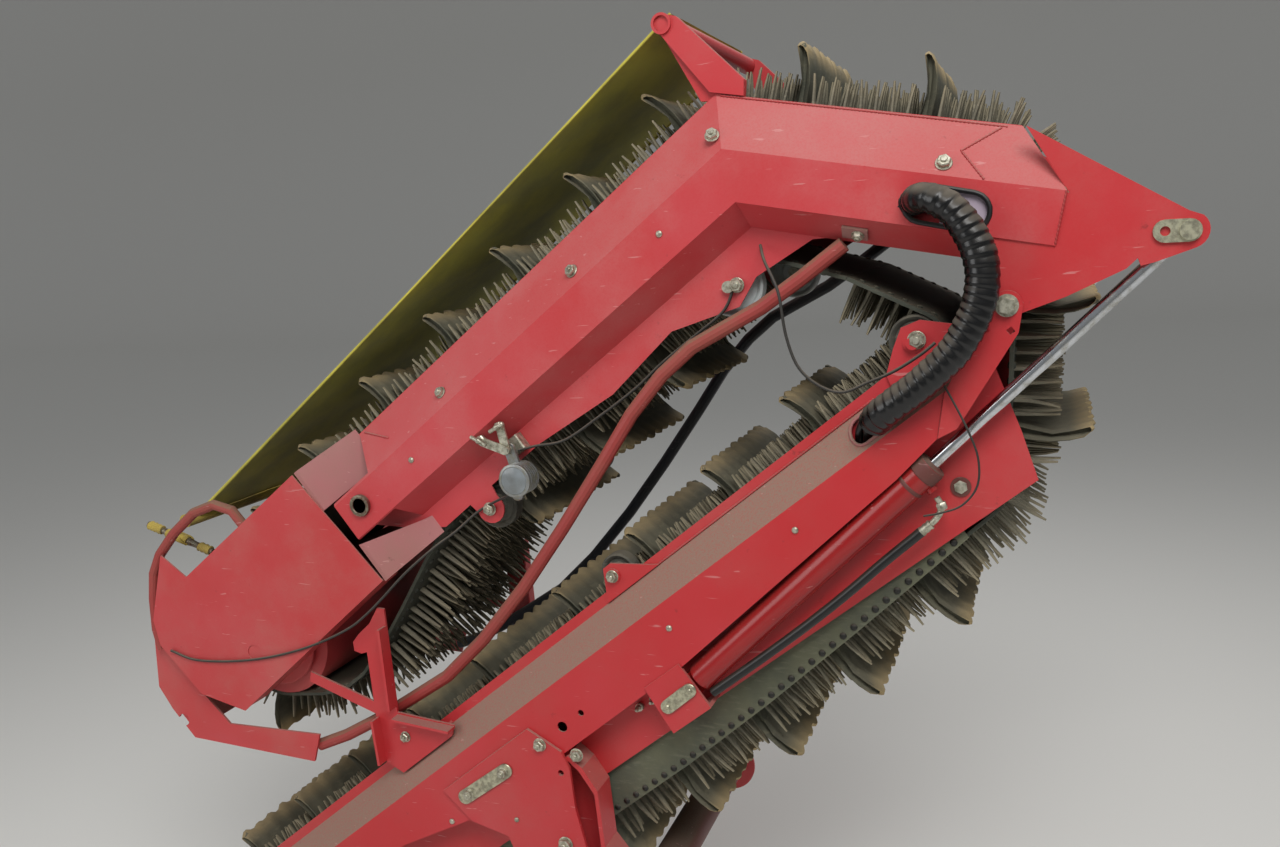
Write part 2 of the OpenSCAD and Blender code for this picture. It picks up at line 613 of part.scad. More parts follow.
// Long guard tubes beside the belt's inner run: along the second leg, outwards and depth
guard_route = [[-13, -382.2, 342], [89, -380, 342], [185, -374, 342], [275, -358, 342], [345, -346, 342],
  [432, -350, 342], [538, -372, 342], [661, -413, 340], [831, -466, 336], [1003, -514, 330], [1176, -550, 326],
  [1322, -566, 324], [1450, -556, 324], [1567, -545, 326], [1659, -530, 336], [1740, -508, guard_y - guard_d / 2 - 0.4]];
module guard_tube(side) {
  color(red) on_neck() sweep([for (p = guard_route) let (q = leg2(p[0], p[1])) [q[0], side * p[2], q[1]]], guard_d, 12);
}
module neck_belt_wheels() {
  for (side = [-1, 1]) {
    color([0.85, 0.86, 0.85]) on_neck() {
      side_bar(side, bend_wheel, 24, 256, web_out + 12);
      side_bar(side, bend_wheel, 38, web_out, web_out + 4);
      side_bar(side, bend_wheel, 2 * bend_wheel_r, row_w / 2 + 12, row_w / 2 + 48);
    }
    color(dusty_rubber) on_neck() {
      side_bar(side, dark_wheel, 24, 256, web_out + 12);
      side_bar(side, dark_wheel, 38, web_out, web_out + 4);
      side_bar(side, dark_wheel, 2 * dark_wheel_r, row_w / 2 + 12, row_w / 2 + 48);
    }
  }
}
module neck_support_rollers() {
  color(dark_red) on_neck() for (p = concat([bend_roller], roller_spots)) {
    roller(p, support_r, belt_w / 2, web_out + 6);
  }
}
module neck_end_roller() {
  color(dark_red) on_neck() roller(neck_end, 58, belt_w / 2, web_out + 6);
}
module neck_cross_tubes() {
  color(dark_red) on_neck() {
    tube_y(leg2(1180, -141), 50, 34, -box_y - 8, box_y + 8);
    tube_y(leg2(640, -150), 50, 40, -web_y, web_y);
    tube_y([-330, 170], 50, 40, -web_y, web_y);
  }
}
// Work lamp on a clamp under the second leg
lamp_pivot = leg2(802, -262);
module lamp_clamp() {
  color(zinc) on_neck() {
    across(-web_out - 30, -web_out) polygon(leg2_points([[780, -245], [824, -245], [824, -280], [780, -280]]));
    bar(lamp_pivot, 14, -web_out - 62, -web_out);
    across(-web_out - 68, -web_out - 62) translate(lamp_pivot) strip([-14, 10], [14, -10], 12);
  }
}
module work_lamp() {
  body = leg2(824, -326);
  color([0.55, 0.56, 0.55]) on_neck() {
    difference() {
      across(-web_out - 58, -web_out - 36) strip(lamp_pivot, lamp_pivot + (body - lamp_pivot) * 0.6, 26);
      bar(lamp_pivot, 14.1, -web_out - 60, -web_out - 30);
    }
    bar(body, 68, -web_out - 64, -web_out - 14);
    bar(body, 52, -web_out - 76, -web_out - 64);
  }
}

// Upper belt: from the bend wheel along the inner run, round the head and back on the
// outer side to the neck's end roller
inner_start = [-300, -8];
head_arc = [for (i = [0:18]) let (a = -60 + 143 * i / 18)
  leg2(1690 + (head_drum_r + belt_t + 1) * cos(a), -235 + (head_drum_r + belt_t + 1) * sin(a))];
upper_route = concat(
  [inner_start, [-420, 4]],
  [for (i = [0:6]) let (a = 90 + neck_bend * i / 6) bend_wheel + (bend_wheel_r + 1) * [cos(a), sin(a)]],
  leg2_points([[300, -243], [500, -256], [760, -270], [900, -276], [1000, -276], [1080, -290], [1190, -325],
    [1325, -375], [1450, -418], [1540, -440], [1620, -440], [1685, -414]]),
  head_arc,
  leg2_points([[1235, -28], [850, -23], [437, -23]]),
  arc(bend_roller, support_r + belt_t + 1, 90 + neck_bend, 90, 6),
  arc(neck_end, 58 + belt_t + 1, 92, 9, 8)
);
upper_end = route_end(upper_route);
upper_spans = [[340, 1040, 1, 1], [1120, 1600, 1, 0], [1760, upper_end - 60, 1, 1]];
upper_cuts = [0, row_gap(340, 410), row_gap(1120, 1550), row_gap(1760, 2250), row_gap(1760, 3860), upper_end];
module belt_upper_turns() {
  color(rubber) on_neck() for (i = [0, 2, 4]) belt(upper_route, upper_spans, upper_cuts[i], upper_cuts[i + 1]);
}
module belt_upper_runs() {
  color(rubber) on_neck() for (i = [1, 3]) belt(upper_route, upper_spans, upper_cuts[i], upper_cuts[i + 1]);
}

// Stretches of belt that cross the fold, in a frame at the fold pivot that doesn't tilt
module at_fold() translate([fold_x, 0, fold_z]) children();
function from_arm(p) = [p[0] * cos(arm_slope) - p[1] * sin(arm_slope), p[0] * sin(arm_slope) + p[1] * cos(arm_slope)];
function from_neck(p) = [p[0] * cos(neck_tilt) + p[1] * sin(neck_tilt), -p[0] * sin(neck_tilt) + p[1] * cos(neck_tilt)];
module belt_fold_outer() {
  top = from_neck(neck_end + (58 + belt_t + 1) * [cos(9), sin(9)]);
  low = from_arm(arm_end + (end_roller_r + belt_t + 1) * [cos(-40), sin(-40)]);
  along = unit(low - top);
  route = [top + along * 1, (top + low) / 2, low - along * 1];
  color(rubber) at_fold() belt(route, [[60, norm(low - top) - 50, 1, 1]], 0, route_end(route));
}
module belt_fold_inner() {
  wheel = from_arm(hold_wheel);
  start = from_neck(inner_start);
  toward = unit(start - wheel);
  swing = acos((hold_wheel_r + 1) / norm(start - wheel));
  contact = atan2(toward[1], toward[0]) - swing;
  bend = [for (i = [0:6]) let (a = arm_slope - 39 + (contact - arm_slope + 39) * i / 6)
    wheel + (hold_wheel_r + 1) * [cos(a), sin(a)]];
  route = concat(bend, [start - toward * 1]);
  color(rubber) at_fold() across(-belt_w / 2, belt_w / 2) belt_strap(route, 0, route_end(route));
}
// Hose bundle over the fold, in the same frame: X, Y, Z
hose_d = 72;
hose_route = [[-154, -396, 171], [-150, -424, 176], [-132, -438, 194], [-90, -440, 190], [-58, -440, 147], [-44, -440, 90],
  [-44, -440, 30], [-66, -440, -32], [-108, -438, -90], [-155, -434, -134], [-200, -428, -172], [-225, -411, -194],
  [-234, -399, -207.5]];
module hose_bundle() {
  color(rubber) at_fold() sweep(thin(round_route(hose_route, 2)), hose_d, 12);
}

// Lift cylinders
rod_pin_arm = let (w = from_neck(rod_pin)) [
  w[0] * cos(arm_slope) + w[1] * sin(arm_slope), -w[0] * sin(arm_slope) + w[1] * cos(arm_slope)
];
cyl_dir = atan2(rod_pin_arm[1] - cyl_base[1], rod_pin_arm[0] - cyl_base[0]);
cyl_len = norm(rod_pin_arm - cyl_base);
module on_cylinder(side) {
  on_arm() translate([cyl_base[0], side * cyl_y, cyl_base[1]]) rotate([0, -cyl_dir, 0]) children();
}
module eye(x, d, bore) {
  difference() {
    translate([x, eye_w / 2, 0]) rotate([90, 0, 0]) cylinder(d = d, h = eye_w);
    translate([x, eye_w, 0]) rotate([90, 0, 0]) cylinder(d = bore, h = 2 * eye_w);
  }
}
module cylinder_barrel(side) {
  color(red) on_cylinder(side) difference() {
    union() {
      translate([0, eye_w / 2, 0]) rotate([90, 0, 0]) cylinder(d = 58, h = eye_w);
      translate([10, -eye_w / 2, -24]) cube([32, eye_w, 48]);
      translate([38, 0, 0]) rotate([0, 90, 0]) cylinder(d = barrel_d, h = barrel_len - 38);
      translate([barrel_len - 34, 0, -barrel_d / 2 - 8]) cylinder(d = 22, h = 14);
    }
    translate([0, eye_w, 0]) rotate([90, 0, 0]) cylinder(d = cyl_pin_d + 0.1, h = 2 * eye_w);
    translate([50, 0, 0]) rotate([0, 90, 0]) cylinder(d = barrel_d - 10, h = barrel_len - 90);
    translate([60, 0, 0]) rotate([0, 90, 0]) cylinder(d = rod_d + 0.1, h = barrel_len);
  }
}
module cylinder_rod(side) {
  color(chrome_colour) on_cylinder(side) {
    difference() {
      union() {
        translate([cyl_len, eye_w / 2, 0]) rotate([90, 0, 0]) cylinder(d = 56, h = eye_w);
        translate([600, 0, 0]) rotate([0, 90, 0]) cylinder(d = rod_d, h = cyl_len - 620);
        translate([600, 0, 0]) rotate([0, 90, 0]) cylinder(d = barrel_d - 11, h = 30);
      }
      translate([cyl_len, eye_w, 0]) rotate([90, 0, 0]) cylinder(d = cyl_pin_d + 0.1, h = 2 * eye_w);
    }
  }
}
// Hose beside the near barrel, in the arm's frame: along, across the arm, depth
cylinder_hose_route = [[-318, -206, -360], [-322, -226, -360], [-345, -238, -361], [-384, -242, -362], [-471, -248, -364], [-579, -258, -366],
  [-683, -264, -368], [-792, -267, -368], [-900, -268, -368], [-940, -268, -368]];
module cylinder_hose() {
  color(rubber) on_arm() sweep([for (p = cylinder_hose_route) [p[0], p[2], p[1]]], 20, 10);
}

arm_web(-1);  // arm_web_near
arm_web(1);  // arm_web_far
arm_box(-1);  // arm_box_near
arm_box(1);  // arm_box_far
hinge_bracket(-1);  // hinge_bracket_near
hinge_bracket(1);  // hinge_bracket_far
hinge_pins();
belt_wheel_brackets();
arm_belt_wheels();
base_bracket(-1);  // base_bracket_near
base_bracket(1);  // base_bracket_far
base_pivot_tube();
base_drum();
arm_end_roller();
arm_cross_tubes();
cradle(-1);  // cradle_near
cradle(1);  // cradle_far
cylinder_anchors();
cylinder_pins();
belt_lower_turns();
belt_lower_runs();
neck_web(-1);  // neck_web_near
neck_web(1);  // neck_web_far
neck_box(-1);  // neck_box_near
neck_box(1);  // neck_box_far
tail_plate(-1);  // tail_plate_near
tail_plate(1);  // tail_plate_far
rod_pin_keepers();
canvas_frame();
canvas();
canvas_bar();
head_cover(-1);  // head_cover_near
head_cover(1);  // head_cover_far
head_joint_plates();
head_drum();
tip_hoops();
tip_guard();
guard_tube(-1);  // guard_tube_near
guard_tube(1);  // guard_tube_far
neck_belt_wheels();
neck_support_rollers();
neck_end_roller();
neck_cross_tubes();
lamp_clamp();
work_lamp();
belt_upper_turns();
belt_upper_runs();
belt_fold_outer();
belt_fold_inner();
hose_bundle();
cylinder_hose();
cylinder_barrel(-1);  // cylinder_barrel_near
cylinder_rod(-1);  // cylinder_rod_near
cylinder_barrel(1);  // cylinder_barrel_far
cylinder_rod(1);  // cylinder_rod_far
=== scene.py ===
# Looks of a folded discharge elevator: dusty red sheet steel, a fingered rubber belt,
# lift cylinders, a canvas strip and the small parts that hold them together.
import math
import random

import bpy
from mathutils import Matrix, Vector


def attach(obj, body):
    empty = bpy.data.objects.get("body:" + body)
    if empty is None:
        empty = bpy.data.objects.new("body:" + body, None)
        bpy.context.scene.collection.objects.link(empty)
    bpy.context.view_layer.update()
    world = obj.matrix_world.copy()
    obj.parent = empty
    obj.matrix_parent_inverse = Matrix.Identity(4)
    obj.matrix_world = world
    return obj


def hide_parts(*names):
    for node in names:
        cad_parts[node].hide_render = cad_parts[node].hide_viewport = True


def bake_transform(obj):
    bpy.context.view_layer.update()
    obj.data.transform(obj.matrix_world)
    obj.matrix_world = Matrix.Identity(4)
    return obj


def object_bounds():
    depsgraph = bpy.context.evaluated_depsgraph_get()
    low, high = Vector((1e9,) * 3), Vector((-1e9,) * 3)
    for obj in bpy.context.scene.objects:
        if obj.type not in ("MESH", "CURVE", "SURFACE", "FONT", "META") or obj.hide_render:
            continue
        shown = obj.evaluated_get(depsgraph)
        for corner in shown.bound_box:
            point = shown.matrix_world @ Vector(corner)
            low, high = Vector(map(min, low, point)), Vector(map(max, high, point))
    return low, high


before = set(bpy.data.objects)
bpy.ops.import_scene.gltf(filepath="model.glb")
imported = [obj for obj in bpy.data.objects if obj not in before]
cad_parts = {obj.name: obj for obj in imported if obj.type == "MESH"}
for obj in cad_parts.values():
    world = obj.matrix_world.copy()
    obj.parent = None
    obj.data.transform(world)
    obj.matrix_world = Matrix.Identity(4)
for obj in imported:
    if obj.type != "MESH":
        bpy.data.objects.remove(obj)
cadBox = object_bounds()
random.seed(7)
print("frame loaded")


# All sizes are in millimetres and become metres in at()
elevator = {
    "armSlope": 37.3,  # degrees above the floor
    "pivotAlong": 1450,  # from the base pivot to the fold pivot, along the arm
    "pivotAcross": 590,
    "neckTilt": 11.4,  # degrees that the neck's first leg falls towards the fold
    "neckBend": 48.1,  # degrees between its two legs
    "legOne": 601,
    "neckTop": 307,  # outer edge of the first leg above the fold pivot
    "webOut": 322,  # outer face of the side plates
    "boxOut": 390,  # outer face of the box sections
}
armTurn = math.radians(elevator["armSlope"])
neckTurn = math.radians(elevator["neckTilt"])
legTurn = math.radians(180 + elevator["neckBend"])
foldX = elevator["pivotAlong"] * math.cos(armTurn) - elevator["pivotAcross"] * math.sin(armTurn)
foldZ = elevator["pivotAlong"] * math.sin(armTurn) + elevator["pivotAcross"] * math.cos(armTurn)


def armPlace(u, v):
    # Along the arm from the fold pivot, and across it to the fold side
    return (foldX + u * math.cos(armTurn) - v * math.sin(armTurn),
            foldZ + u * math.sin(armTurn) + v * math.cos(armTurn))


def neckPlace(x, z):
    # Along the neck's first leg from the fold pivot, and outwards from it
    return (foldX + x * math.cos(neckTurn) + z * math.sin(neckTurn),
            foldZ - x * math.sin(neckTurn) + z * math.cos(neckTurn))


def legInNeck(x, y):
    # Along the neck's second leg from the outer corner, and outwards from it, in the first leg's frame
    side = legTurn - math.pi / 2
    return (-elevator["legOne"] + x * math.cos(legTurn) + y * math.cos(side),
            elevator["neckTop"] + x * math.sin(legTurn) + y * math.sin(side))


def legPlace(x, y):
    return neckPlace(*legInNeck(x, y))


def foldPlace(x, z):
    # Level and upright from the fold pivot
    return (foldX + x, foldZ + z)


def at(place, y):
    # A place seen from the side and its depth, as a point in metres
    return Vector((place[0], y, place[1])) / 1000


# Beside the elevator at the height of the fold, turned towards the base and a little down
cameraView = {"lens": 30.375, "right": (0.93485, 0.3493, -0.0630), "up": (0.0, 0.1776, 0.9841),
              "pastFold": 70.3, "aboveFold": 150.3, "beside": -2390}
cameraData = bpy.data.cameras.new("camera")
cameraData.lens = cameraView["lens"]
cameraData.sensor_width = 36
cameraData.sensor_fit = "HORIZONTAL"
cameraData.clip_end = 60
camera = bpy.data.objects.new("camera", cameraData)
bpy.context.collection.objects.link(camera)
right = Vector(cameraView["right"]).normalized()
up = (Vector(cameraView["up"]) - right * right.dot(Vector(cameraView["up"]))).normalized()
back = right.cross(up)
camera.matrix_world = Matrix((
    (right.x, up.x, back.x, (foldX + cameraView["pastFold"]) / 1000),
    (right.y, up.y, back.y, cameraView["beside"] / 1000),
    (right.z, up.z, back.z, (foldZ + cameraView["aboveFold"]) / 1000),
    (0, 0, 0, 1),
))
bpy.context.scene.camera = camera


def makePiece(name, verts, faces, body, material, sharpAngle=35, wear=None):
    mesh = bpy.data.meshes.new(name)
    mesh.from_pydata([tuple(v) for v in verts], [], faces)
    mesh.materials.append(material)
    mesh.polygons.foreach_set("use_smooth", [True] * len(mesh.polygons))
    mesh.set_sharp_from_angle(angle=math.radians(sharpAngle))
    if wear is not None:
        layer = mesh.attributes.new("wear", "FLOAT", "POINT")
        layer.data.foreach_set("value", wear)
    mesh.validate()
    mesh.update()
    piece = bpy.data.objects.new(name, mesh)
    bpy.context.collection.objects.link(piece)
    if body:
        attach(piece, body)
    return piece


class Parts:
    # Collects many small solids into one mesh

    def __init__(self):
        self.verts = []
        self.faces = []
        self.wear = []

    def add(self, verts, faces, wear=None):
        start = len(self.verts)
        self.verts.extend(verts)
        self.faces.extend([tuple(start + i for i in face) for face in faces])
        self.wear.extend(wear if wear is not None else [0.0] * len(verts))


def partsPiece(name, parts, body, finish, sharpAngle=35, nodes=()):
    # One piece from collected solids, with its slot and the CAD nodes that it stands for
    piece = makePiece(name, parts.verts, parts.faces, body, finish, sharpAngle)
    if nodes:
        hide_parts(*nodes)
    return piece


def axisFrame(axis):
    axis = Vector(axis).normalized()
    other = Vector((0, 0, 1)) if abs(axis.z) < 0.9 else Vector((1, 0, 0))
    side = axis.cross(other).normalized()
    return side, axis.cross(side), axis


def turned(profile, centre, axis, sides, spin=0.0):
    # Solid of revolution: profile holds (radius, distance along the axis) in millimetres
    side, rise, axis = axisFrame(axis)
    verts = []
    for radius, along in profile:
        for k in range(sides):
            angle = 2 * math.pi * k / sides + spin
            verts.append(centre + (axis * along + side * (radius * math.cos(angle))
                                   + rise * (radius * math.sin(angle))) / 1000)
    faces = []
    for i in range(len(profile) - 1):
        for k in range(sides):
            n = (k + 1) % sides
            faces.append((i * sides + k, i * sides + n, (i + 1) * sides + n, (i + 1) * sides + k))
    if profile[0][0] > 0:
        faces.append(tuple(reversed(range(sides))))
    if profile[-1][0] > 0:
        faces.append(tuple(range((len(profile) - 1) * sides, len(profile) * sides)))
    return verts, faces


def smoothPath(points, steps):
    # Catmull-Rom curve through the points
    points = [Vector(p) for p in points]
    ends = [points[0] * 2 - points[1]] + points + [points[-1] * 2 - points[-2]]
    path = []
    for i in range(1, len(ends) - 2):
        a, b, c, d = ends[i - 1:i + 3]
        for j in range(steps):
            t = j / steps
            path.append(0.5 * (2 * b + (c - a) * t + (2 * a - 5 * b + 4 * c - d) * t * t
                               + (3 * b - a - 3 * c + d) * t * t * t))
    path.append(points[-1])
    return path


def pathLength(path):
    return sum((b - a).length for a, b in zip(path, path[1:]))


def evenPath(points, step):
    # The same line with points a fixed distance apart
    lengths = [0.0]
    for a, b in zip(points, points[1:]):
        lengths.append(lengths[-1] + (b - a).length)
    count = max(2, round(lengths[-1] / step))
    path = []
    i = 0
    for k in range(count + 1):
        want = lengths[-1] * k / count
        while i < len(points) - 2 and lengths[i + 1] < want:
            i += 1
        span = max(lengths[i + 1] - lengths[i], 1e-9)
        path.append(points[i].lerp(points[i + 1], (want - lengths[i]) / span))
    return path


def tubeAlong(path, radiusAt, sides, closed=True):
    # Tube round the path; radiusAt(share along, angle) gives its radius in metres
    count = len(path)
    tangent = (path[1] - path[0]).normalized()
    side = axisFrame(tangent)[0]
    verts = []
    for i, point in enumerate(path):
        tangent = (path[min(i + 1, count - 1)] - path[max(i - 1, 0)]).normalized()
        side = (side - tangent * side.dot(tangent)).normalized()
        rise = tangent.cross(side)
        for k in range(sides):
            angle = 2 * math.pi * k / sides
            radius = radiusAt(i / (count - 1), angle)
            verts.append(point + side * (radius * math.cos(angle)) + rise * (radius * math.sin(angle)))
    faces = []
    for i in range(count - 1):
        for k in range(sides):
            n = (k + 1) % sides
            faces.append((i * sides + k, i * sides + n, (i + 1) * sides + n, (i + 1) * sides + k))
    if closed:
        faces.append(tuple(reversed(range(sides))))
        faces.append(tuple(range((count - 1) * sides, count * sides)))
    return verts, faces


def plateSolid(outline, yLow, yHigh, bevel=0.0):
    # Sheet with an outline of (x, z) places, between two depths, its edges eased by bevel
    count = len(outline)
    area = sum(outline[i][0] * outline[(i + 1) % count][1] - outline[(i + 1) % count][0] * outline[i][1]
               for i in range(count))
    if area < 0:
        outline = outline[::-1]
    centreX = sum(p[0] for p in outline) / count
    centreZ = sum(p[1] for p in outline) / count

    def ring(y, inset):
        ringVerts = []
        for x, z in outline:
            reach = math.hypot(x - centreX, z - centreZ)
            k = 1 - inset / max(reach, 1)
            ringVerts.append(Vector((centreX + (x - centreX) * k, y, centreZ + (z - centreZ) * k)) / 1000)
        return ringVerts

    if bevel > 0:
        rings = [(yLow, bevel), (yLow + bevel, 0), (yHigh - bevel, 0), (yHigh, bevel)]
    else:
        rings = [(yLow, 0), (yHigh, 0)]
    verts = []
    for y, inset in rings:
        verts.extend(ring(y, inset))
    faces = []
    for r in range(len(rings) - 1):
        for i in range(count):
            n = (i + 1) % count
            faces.append((r * count + i, (r + 1) * count + i, (r + 1) * count + n, r * count + n))
    faces.append(tuple(range(count)))
    last = (len(rings) - 1) * count
    faces.append(tuple(last + i for i in reversed(range(count))))
    return verts, faces


def linear(hexColour):
    values = [int(hexColour[i:i + 2], 16) / 255 for i in (1, 3, 5)]
    return tuple(v / 12.92 if v <= 0.04045 else ((v + 0.055) / 1.055) ** 2.4 for v in values) + (1.0,)


def addNode(tree, kind, place, settings=None, values=None, links=None):
    node = tree.nodes.new(kind)
    node.location = place
    for key, value in (settings or {}).items():
        setattr(node, key, value)
    for socket, value in (values or {}).items():
        node.inputs[socket].default_value = value
    for socket, source in (links or {}).items():
        tree.links.new(source, node.inputs[socket])
    return node


def startMaterial(name, metallic=0.0, ior=1.45, roughness=0.5):
    material = bpy.data.materials.new(name)
    material.use_nodes = True
    tree = material.node_tree
    tree.nodes.clear()
    shader = addNode(tree, "ShaderNodeBsdfPrincipled", (700, 0),
                     values={"Metallic": metallic, "IOR": ior, "Roughness": roughness})
    addNode(tree, "ShaderNodeOutputMaterial", (1000, 0), links={"Surface": shader.outputs["BSDF"]})
    return material, tree, shader


def noiseAt(tree, place, perMetre, detail=4.0, distortion=0.0, stretch=None):
    # Noise in the piece's own space; perMetre is how many features fit in a metre
    coords = addNode(tree, "ShaderNodeTexCoord", (place[0] - 400, place[1]))
    source = coords.outputs["Object"]
    if stretch:
        mapping = addNode(tree, "ShaderNodeMapping", (place[0] - 200, place[1]),
                          values={"Rotation": stretch[0], "Scale": stretch[1]}, links={"Vector": source})
        source = mapping.outputs["Vector"]
    return addNode(tree, "ShaderNodeTexNoise", place,
                   values={"Scale": perMetre, "Detail": detail, "Roughness": 0.6, "Distortion": distortion},
                   links={"Vector": source}).outputs["Fac"]


def remap(tree, place, source, low, high, toLow=0.0, toHigh=1.0):
    return addNode(tree, "ShaderNodeMapRange", place, {"interpolation_type": "SMOOTHSTEP"},
                   {"From Min": low, "From Max": high, "To Min": toLow, "To Max": toHigh},
                   {"Value": source}).outputs["Result"]


def mixColour(tree, place, share, a, b):
    # From a to b as the share grows; each is a colour or the output of another node
    node = addNode(tree, "ShaderNodeMix", place, {"data_type": "RGBA"}, links={0: share})
    for socket, colour in ((6, a), (7, b)):
        if isinstance(colour, tuple):
            node.inputs[socket].default_value = colour
        else:
            tree.links.new(colour, node.inputs[socket])
    return node.outputs[2]


def combine(tree, place, operation, a, b):
    return addNode(tree, "ShaderNodeMath", place, {"operation": operation, "use_clamp": True},
                   links={0: a, 1: b}).outputs[0]


def bumpFrom(tree, shader, place, height, strength, distance):
    bump = addNode(tree, "ShaderNodeBump", place, values={"Strength": strength, "Distance": distance},
                   links={"Height": height})
    tree.links.new(bump.outputs["Normal"], shader.inputs["Normal"])


def facingUp(tree, place):
    # 0 on walls and undersides, 1 on level tops, in the piece's own space
    coords = addNode(tree, "ShaderNodeTexCoord", (place[0] - 400, place[1]))
    split = addNode(tree, "ShaderNodeSeparateXYZ", (place[0] - 200, place[1]),
                    links={"Vector": coords.outputs["Normal"]})
    return split.outputs["Z"]


stains = {"grime": "#2a1a16", "driedSoil": "#857a66", "hoseDust": "#6d6457", "dullZinc": "#8d8a78",
          "rust": "#6b4226"}


def dustedPaint(name, look):
    # Powder-coated sheet steel: even red with a low sheen, field dust on what faces up, there also standing
    # for a painted sheen, a thin film of it elsewhere, grime in patches and pale scuffs where crops have
    # brushed past
    material, tree, shader = startMaterial(name, ior=1.5)
    patches = noiseAt(tree, (-900, 300), 5)
    clouds = noiseAt(tree, (-900, 0), 1.8, 3)
    grit = noiseAt(tree, (-900, -300), 260, 3)  # 4 mm clumps of dust
    scuffs = noiseAt(tree, (-900, -600), 14, 2, 0.4, ((0.3, 0.65, 0.2), (1, 6, 9)))
    faded = mixColour(tree, (-500, 300), remap(tree, (-700, 300), clouds, 0.35, 0.7),
                      linear(look["paint"]), linear(look["faded"]))
    # Dust on upward faces, paler the more a face looks up: partly a painted sheen
    dustAndSheenOnTops = remap(tree, (-700, 100), facingUp(tree, (-900, 100)),
                  look["dustFrom"], look["dustFull"], 0, look["dustUp"])
    film = remap(tree, (-700, -100), patches, 0.38, 0.75, look["film"] * 0.35, look["film"])
    dust = combine(tree, (-500, 0), "ADD", dustAndSheenOnTops, film)
    uneven = remap(tree, (-700, -300), grit, 0.3, 0.6, 0.72, 1.0)
    dust = combine(tree, (-350, 0), "MULTIPLY", dust, uneven)
    colour = mixColour(tree, (-200, 300), dust, faded, linear(look["dust"]))
    scratch = remap(tree, (-500, -500), scuffs, 0.69, 0.74, 0, look["scuffs"])
    colour = mixColour(tree, (0, 300), scratch, colour, linear(look["scuff"]))
    grime = remap(tree, (-500, -700), noiseAt(tree, (-900, -900), 38, 5), 0.66, 0.8, 0, look["grime"])
    colour = mixColour(tree, (200, 300), grime, colour, linear(stains["grime"]))
    tree.links.new(colour, shader.inputs["Base Color"])
    rough = remap(tree, (200, 0), dust, 0.0, 0.7, look["roughness"], 0.92)
    tree.links.new(rough, shader.inputs["Roughness"])
    bumpFrom(tree, shader, (450, -300), grit, 0.12, 0.0006)
    return material


redLook = {"paint": "#bf1d26", "faded": "#c4303a", "dust": "#a07c70", "dustFrom": 0.3, "dustFull": 0.85,
           "dustUp": 0.75, "film": 0.22, "scuffs": 0.35, "scuff": "#d8a6a2", "grime": 0.5, "roughness": 0.4}
redPaint = dustedPaint("redPowderCoat", redLook)
shoulderPaint = dustedPaint("redPowderCoatDustyShoulder", {
    **redLook, "dust": "#94796a", "dustFrom": 0.4, "dustFull": 0.56, "dustUp": 0.98, "film": 0.16})
# The neck's pink colour on upward faces is dust and a painted highlight
neckPaint = dustedPaint("redPowderCoatNeck", {
    **redLook, "dustFrom": 0.3, "dustFull": 0.62, "dustUp": 0.34, "film": 0.3, "dust": "#b98c86"})
coverPaint = dustedPaint("redPowderCoatHead", {
    **redLook, "film": 0.38, "dust": "#ad8478", "dustFrom": 0.15, "dustFull": 0.6, "dustUp": 0.5})
# Pale pink paint under a dust film: the dusty pink of these tilted plates is dust and a painted sheen
jointPaint = dustedPaint("jointPlatesDustAndPaintedSheen", {
    **redLook, "paint": "#a8585c", "faded": "#b27274", "film": 0.7, "dust": "#94796a"})
# Pale lavender grey behind the neck's window: dust with a painted reflection
windowDustAndReflectionPaint = dustedPaint("windowSheetDustAndPaintedReflection", {
    **redLook, "paint": "#b5a4b4", "faded": "#bcaebd", "film": 0.35, "dust": "#a79aa2"})
# Dark slate blue-grey on the far guard tube: painted shade, with a bluish painted reflection of daylight
farTubeShadePaint = dustedPaint("farTubePaintedShadeAndReflection", {
    **redLook, "paint": "#2c3442", "faded": "#38404c", "film": 0.5, "dust": "#5c5a55", "scuff": "#7d838c"})
beadPaint = dustedPaint("paintedWeldBead", {**redLook, "paint": "#a3161e", "film": 0.34, "scuffs": 0.0})
tubePaint = dustedPaint("dustyTubePaint", {
    **redLook, "paint": "#9c2427", "faded": "#a42e30", "film": 0.5, "dustFrom": 0.2, "dustFull": 0.8,
    "dust": "#846350", "scuffs": 0.5, "grime": 0.65})
darkPaint = dustedPaint("rollerPaint", {
    **redLook, "paint": "#5e1a1a", "faded": "#6b2622", "film": 0.4, "dust": "#6e5c4e"})
barrelPaint = dustedPaint("barrelPaint", {
    **redLook, "paint": "#96090f", "faded": "#9e1218", "film": 0.09, "dustUp": 0.16, "roughness": 0.22})


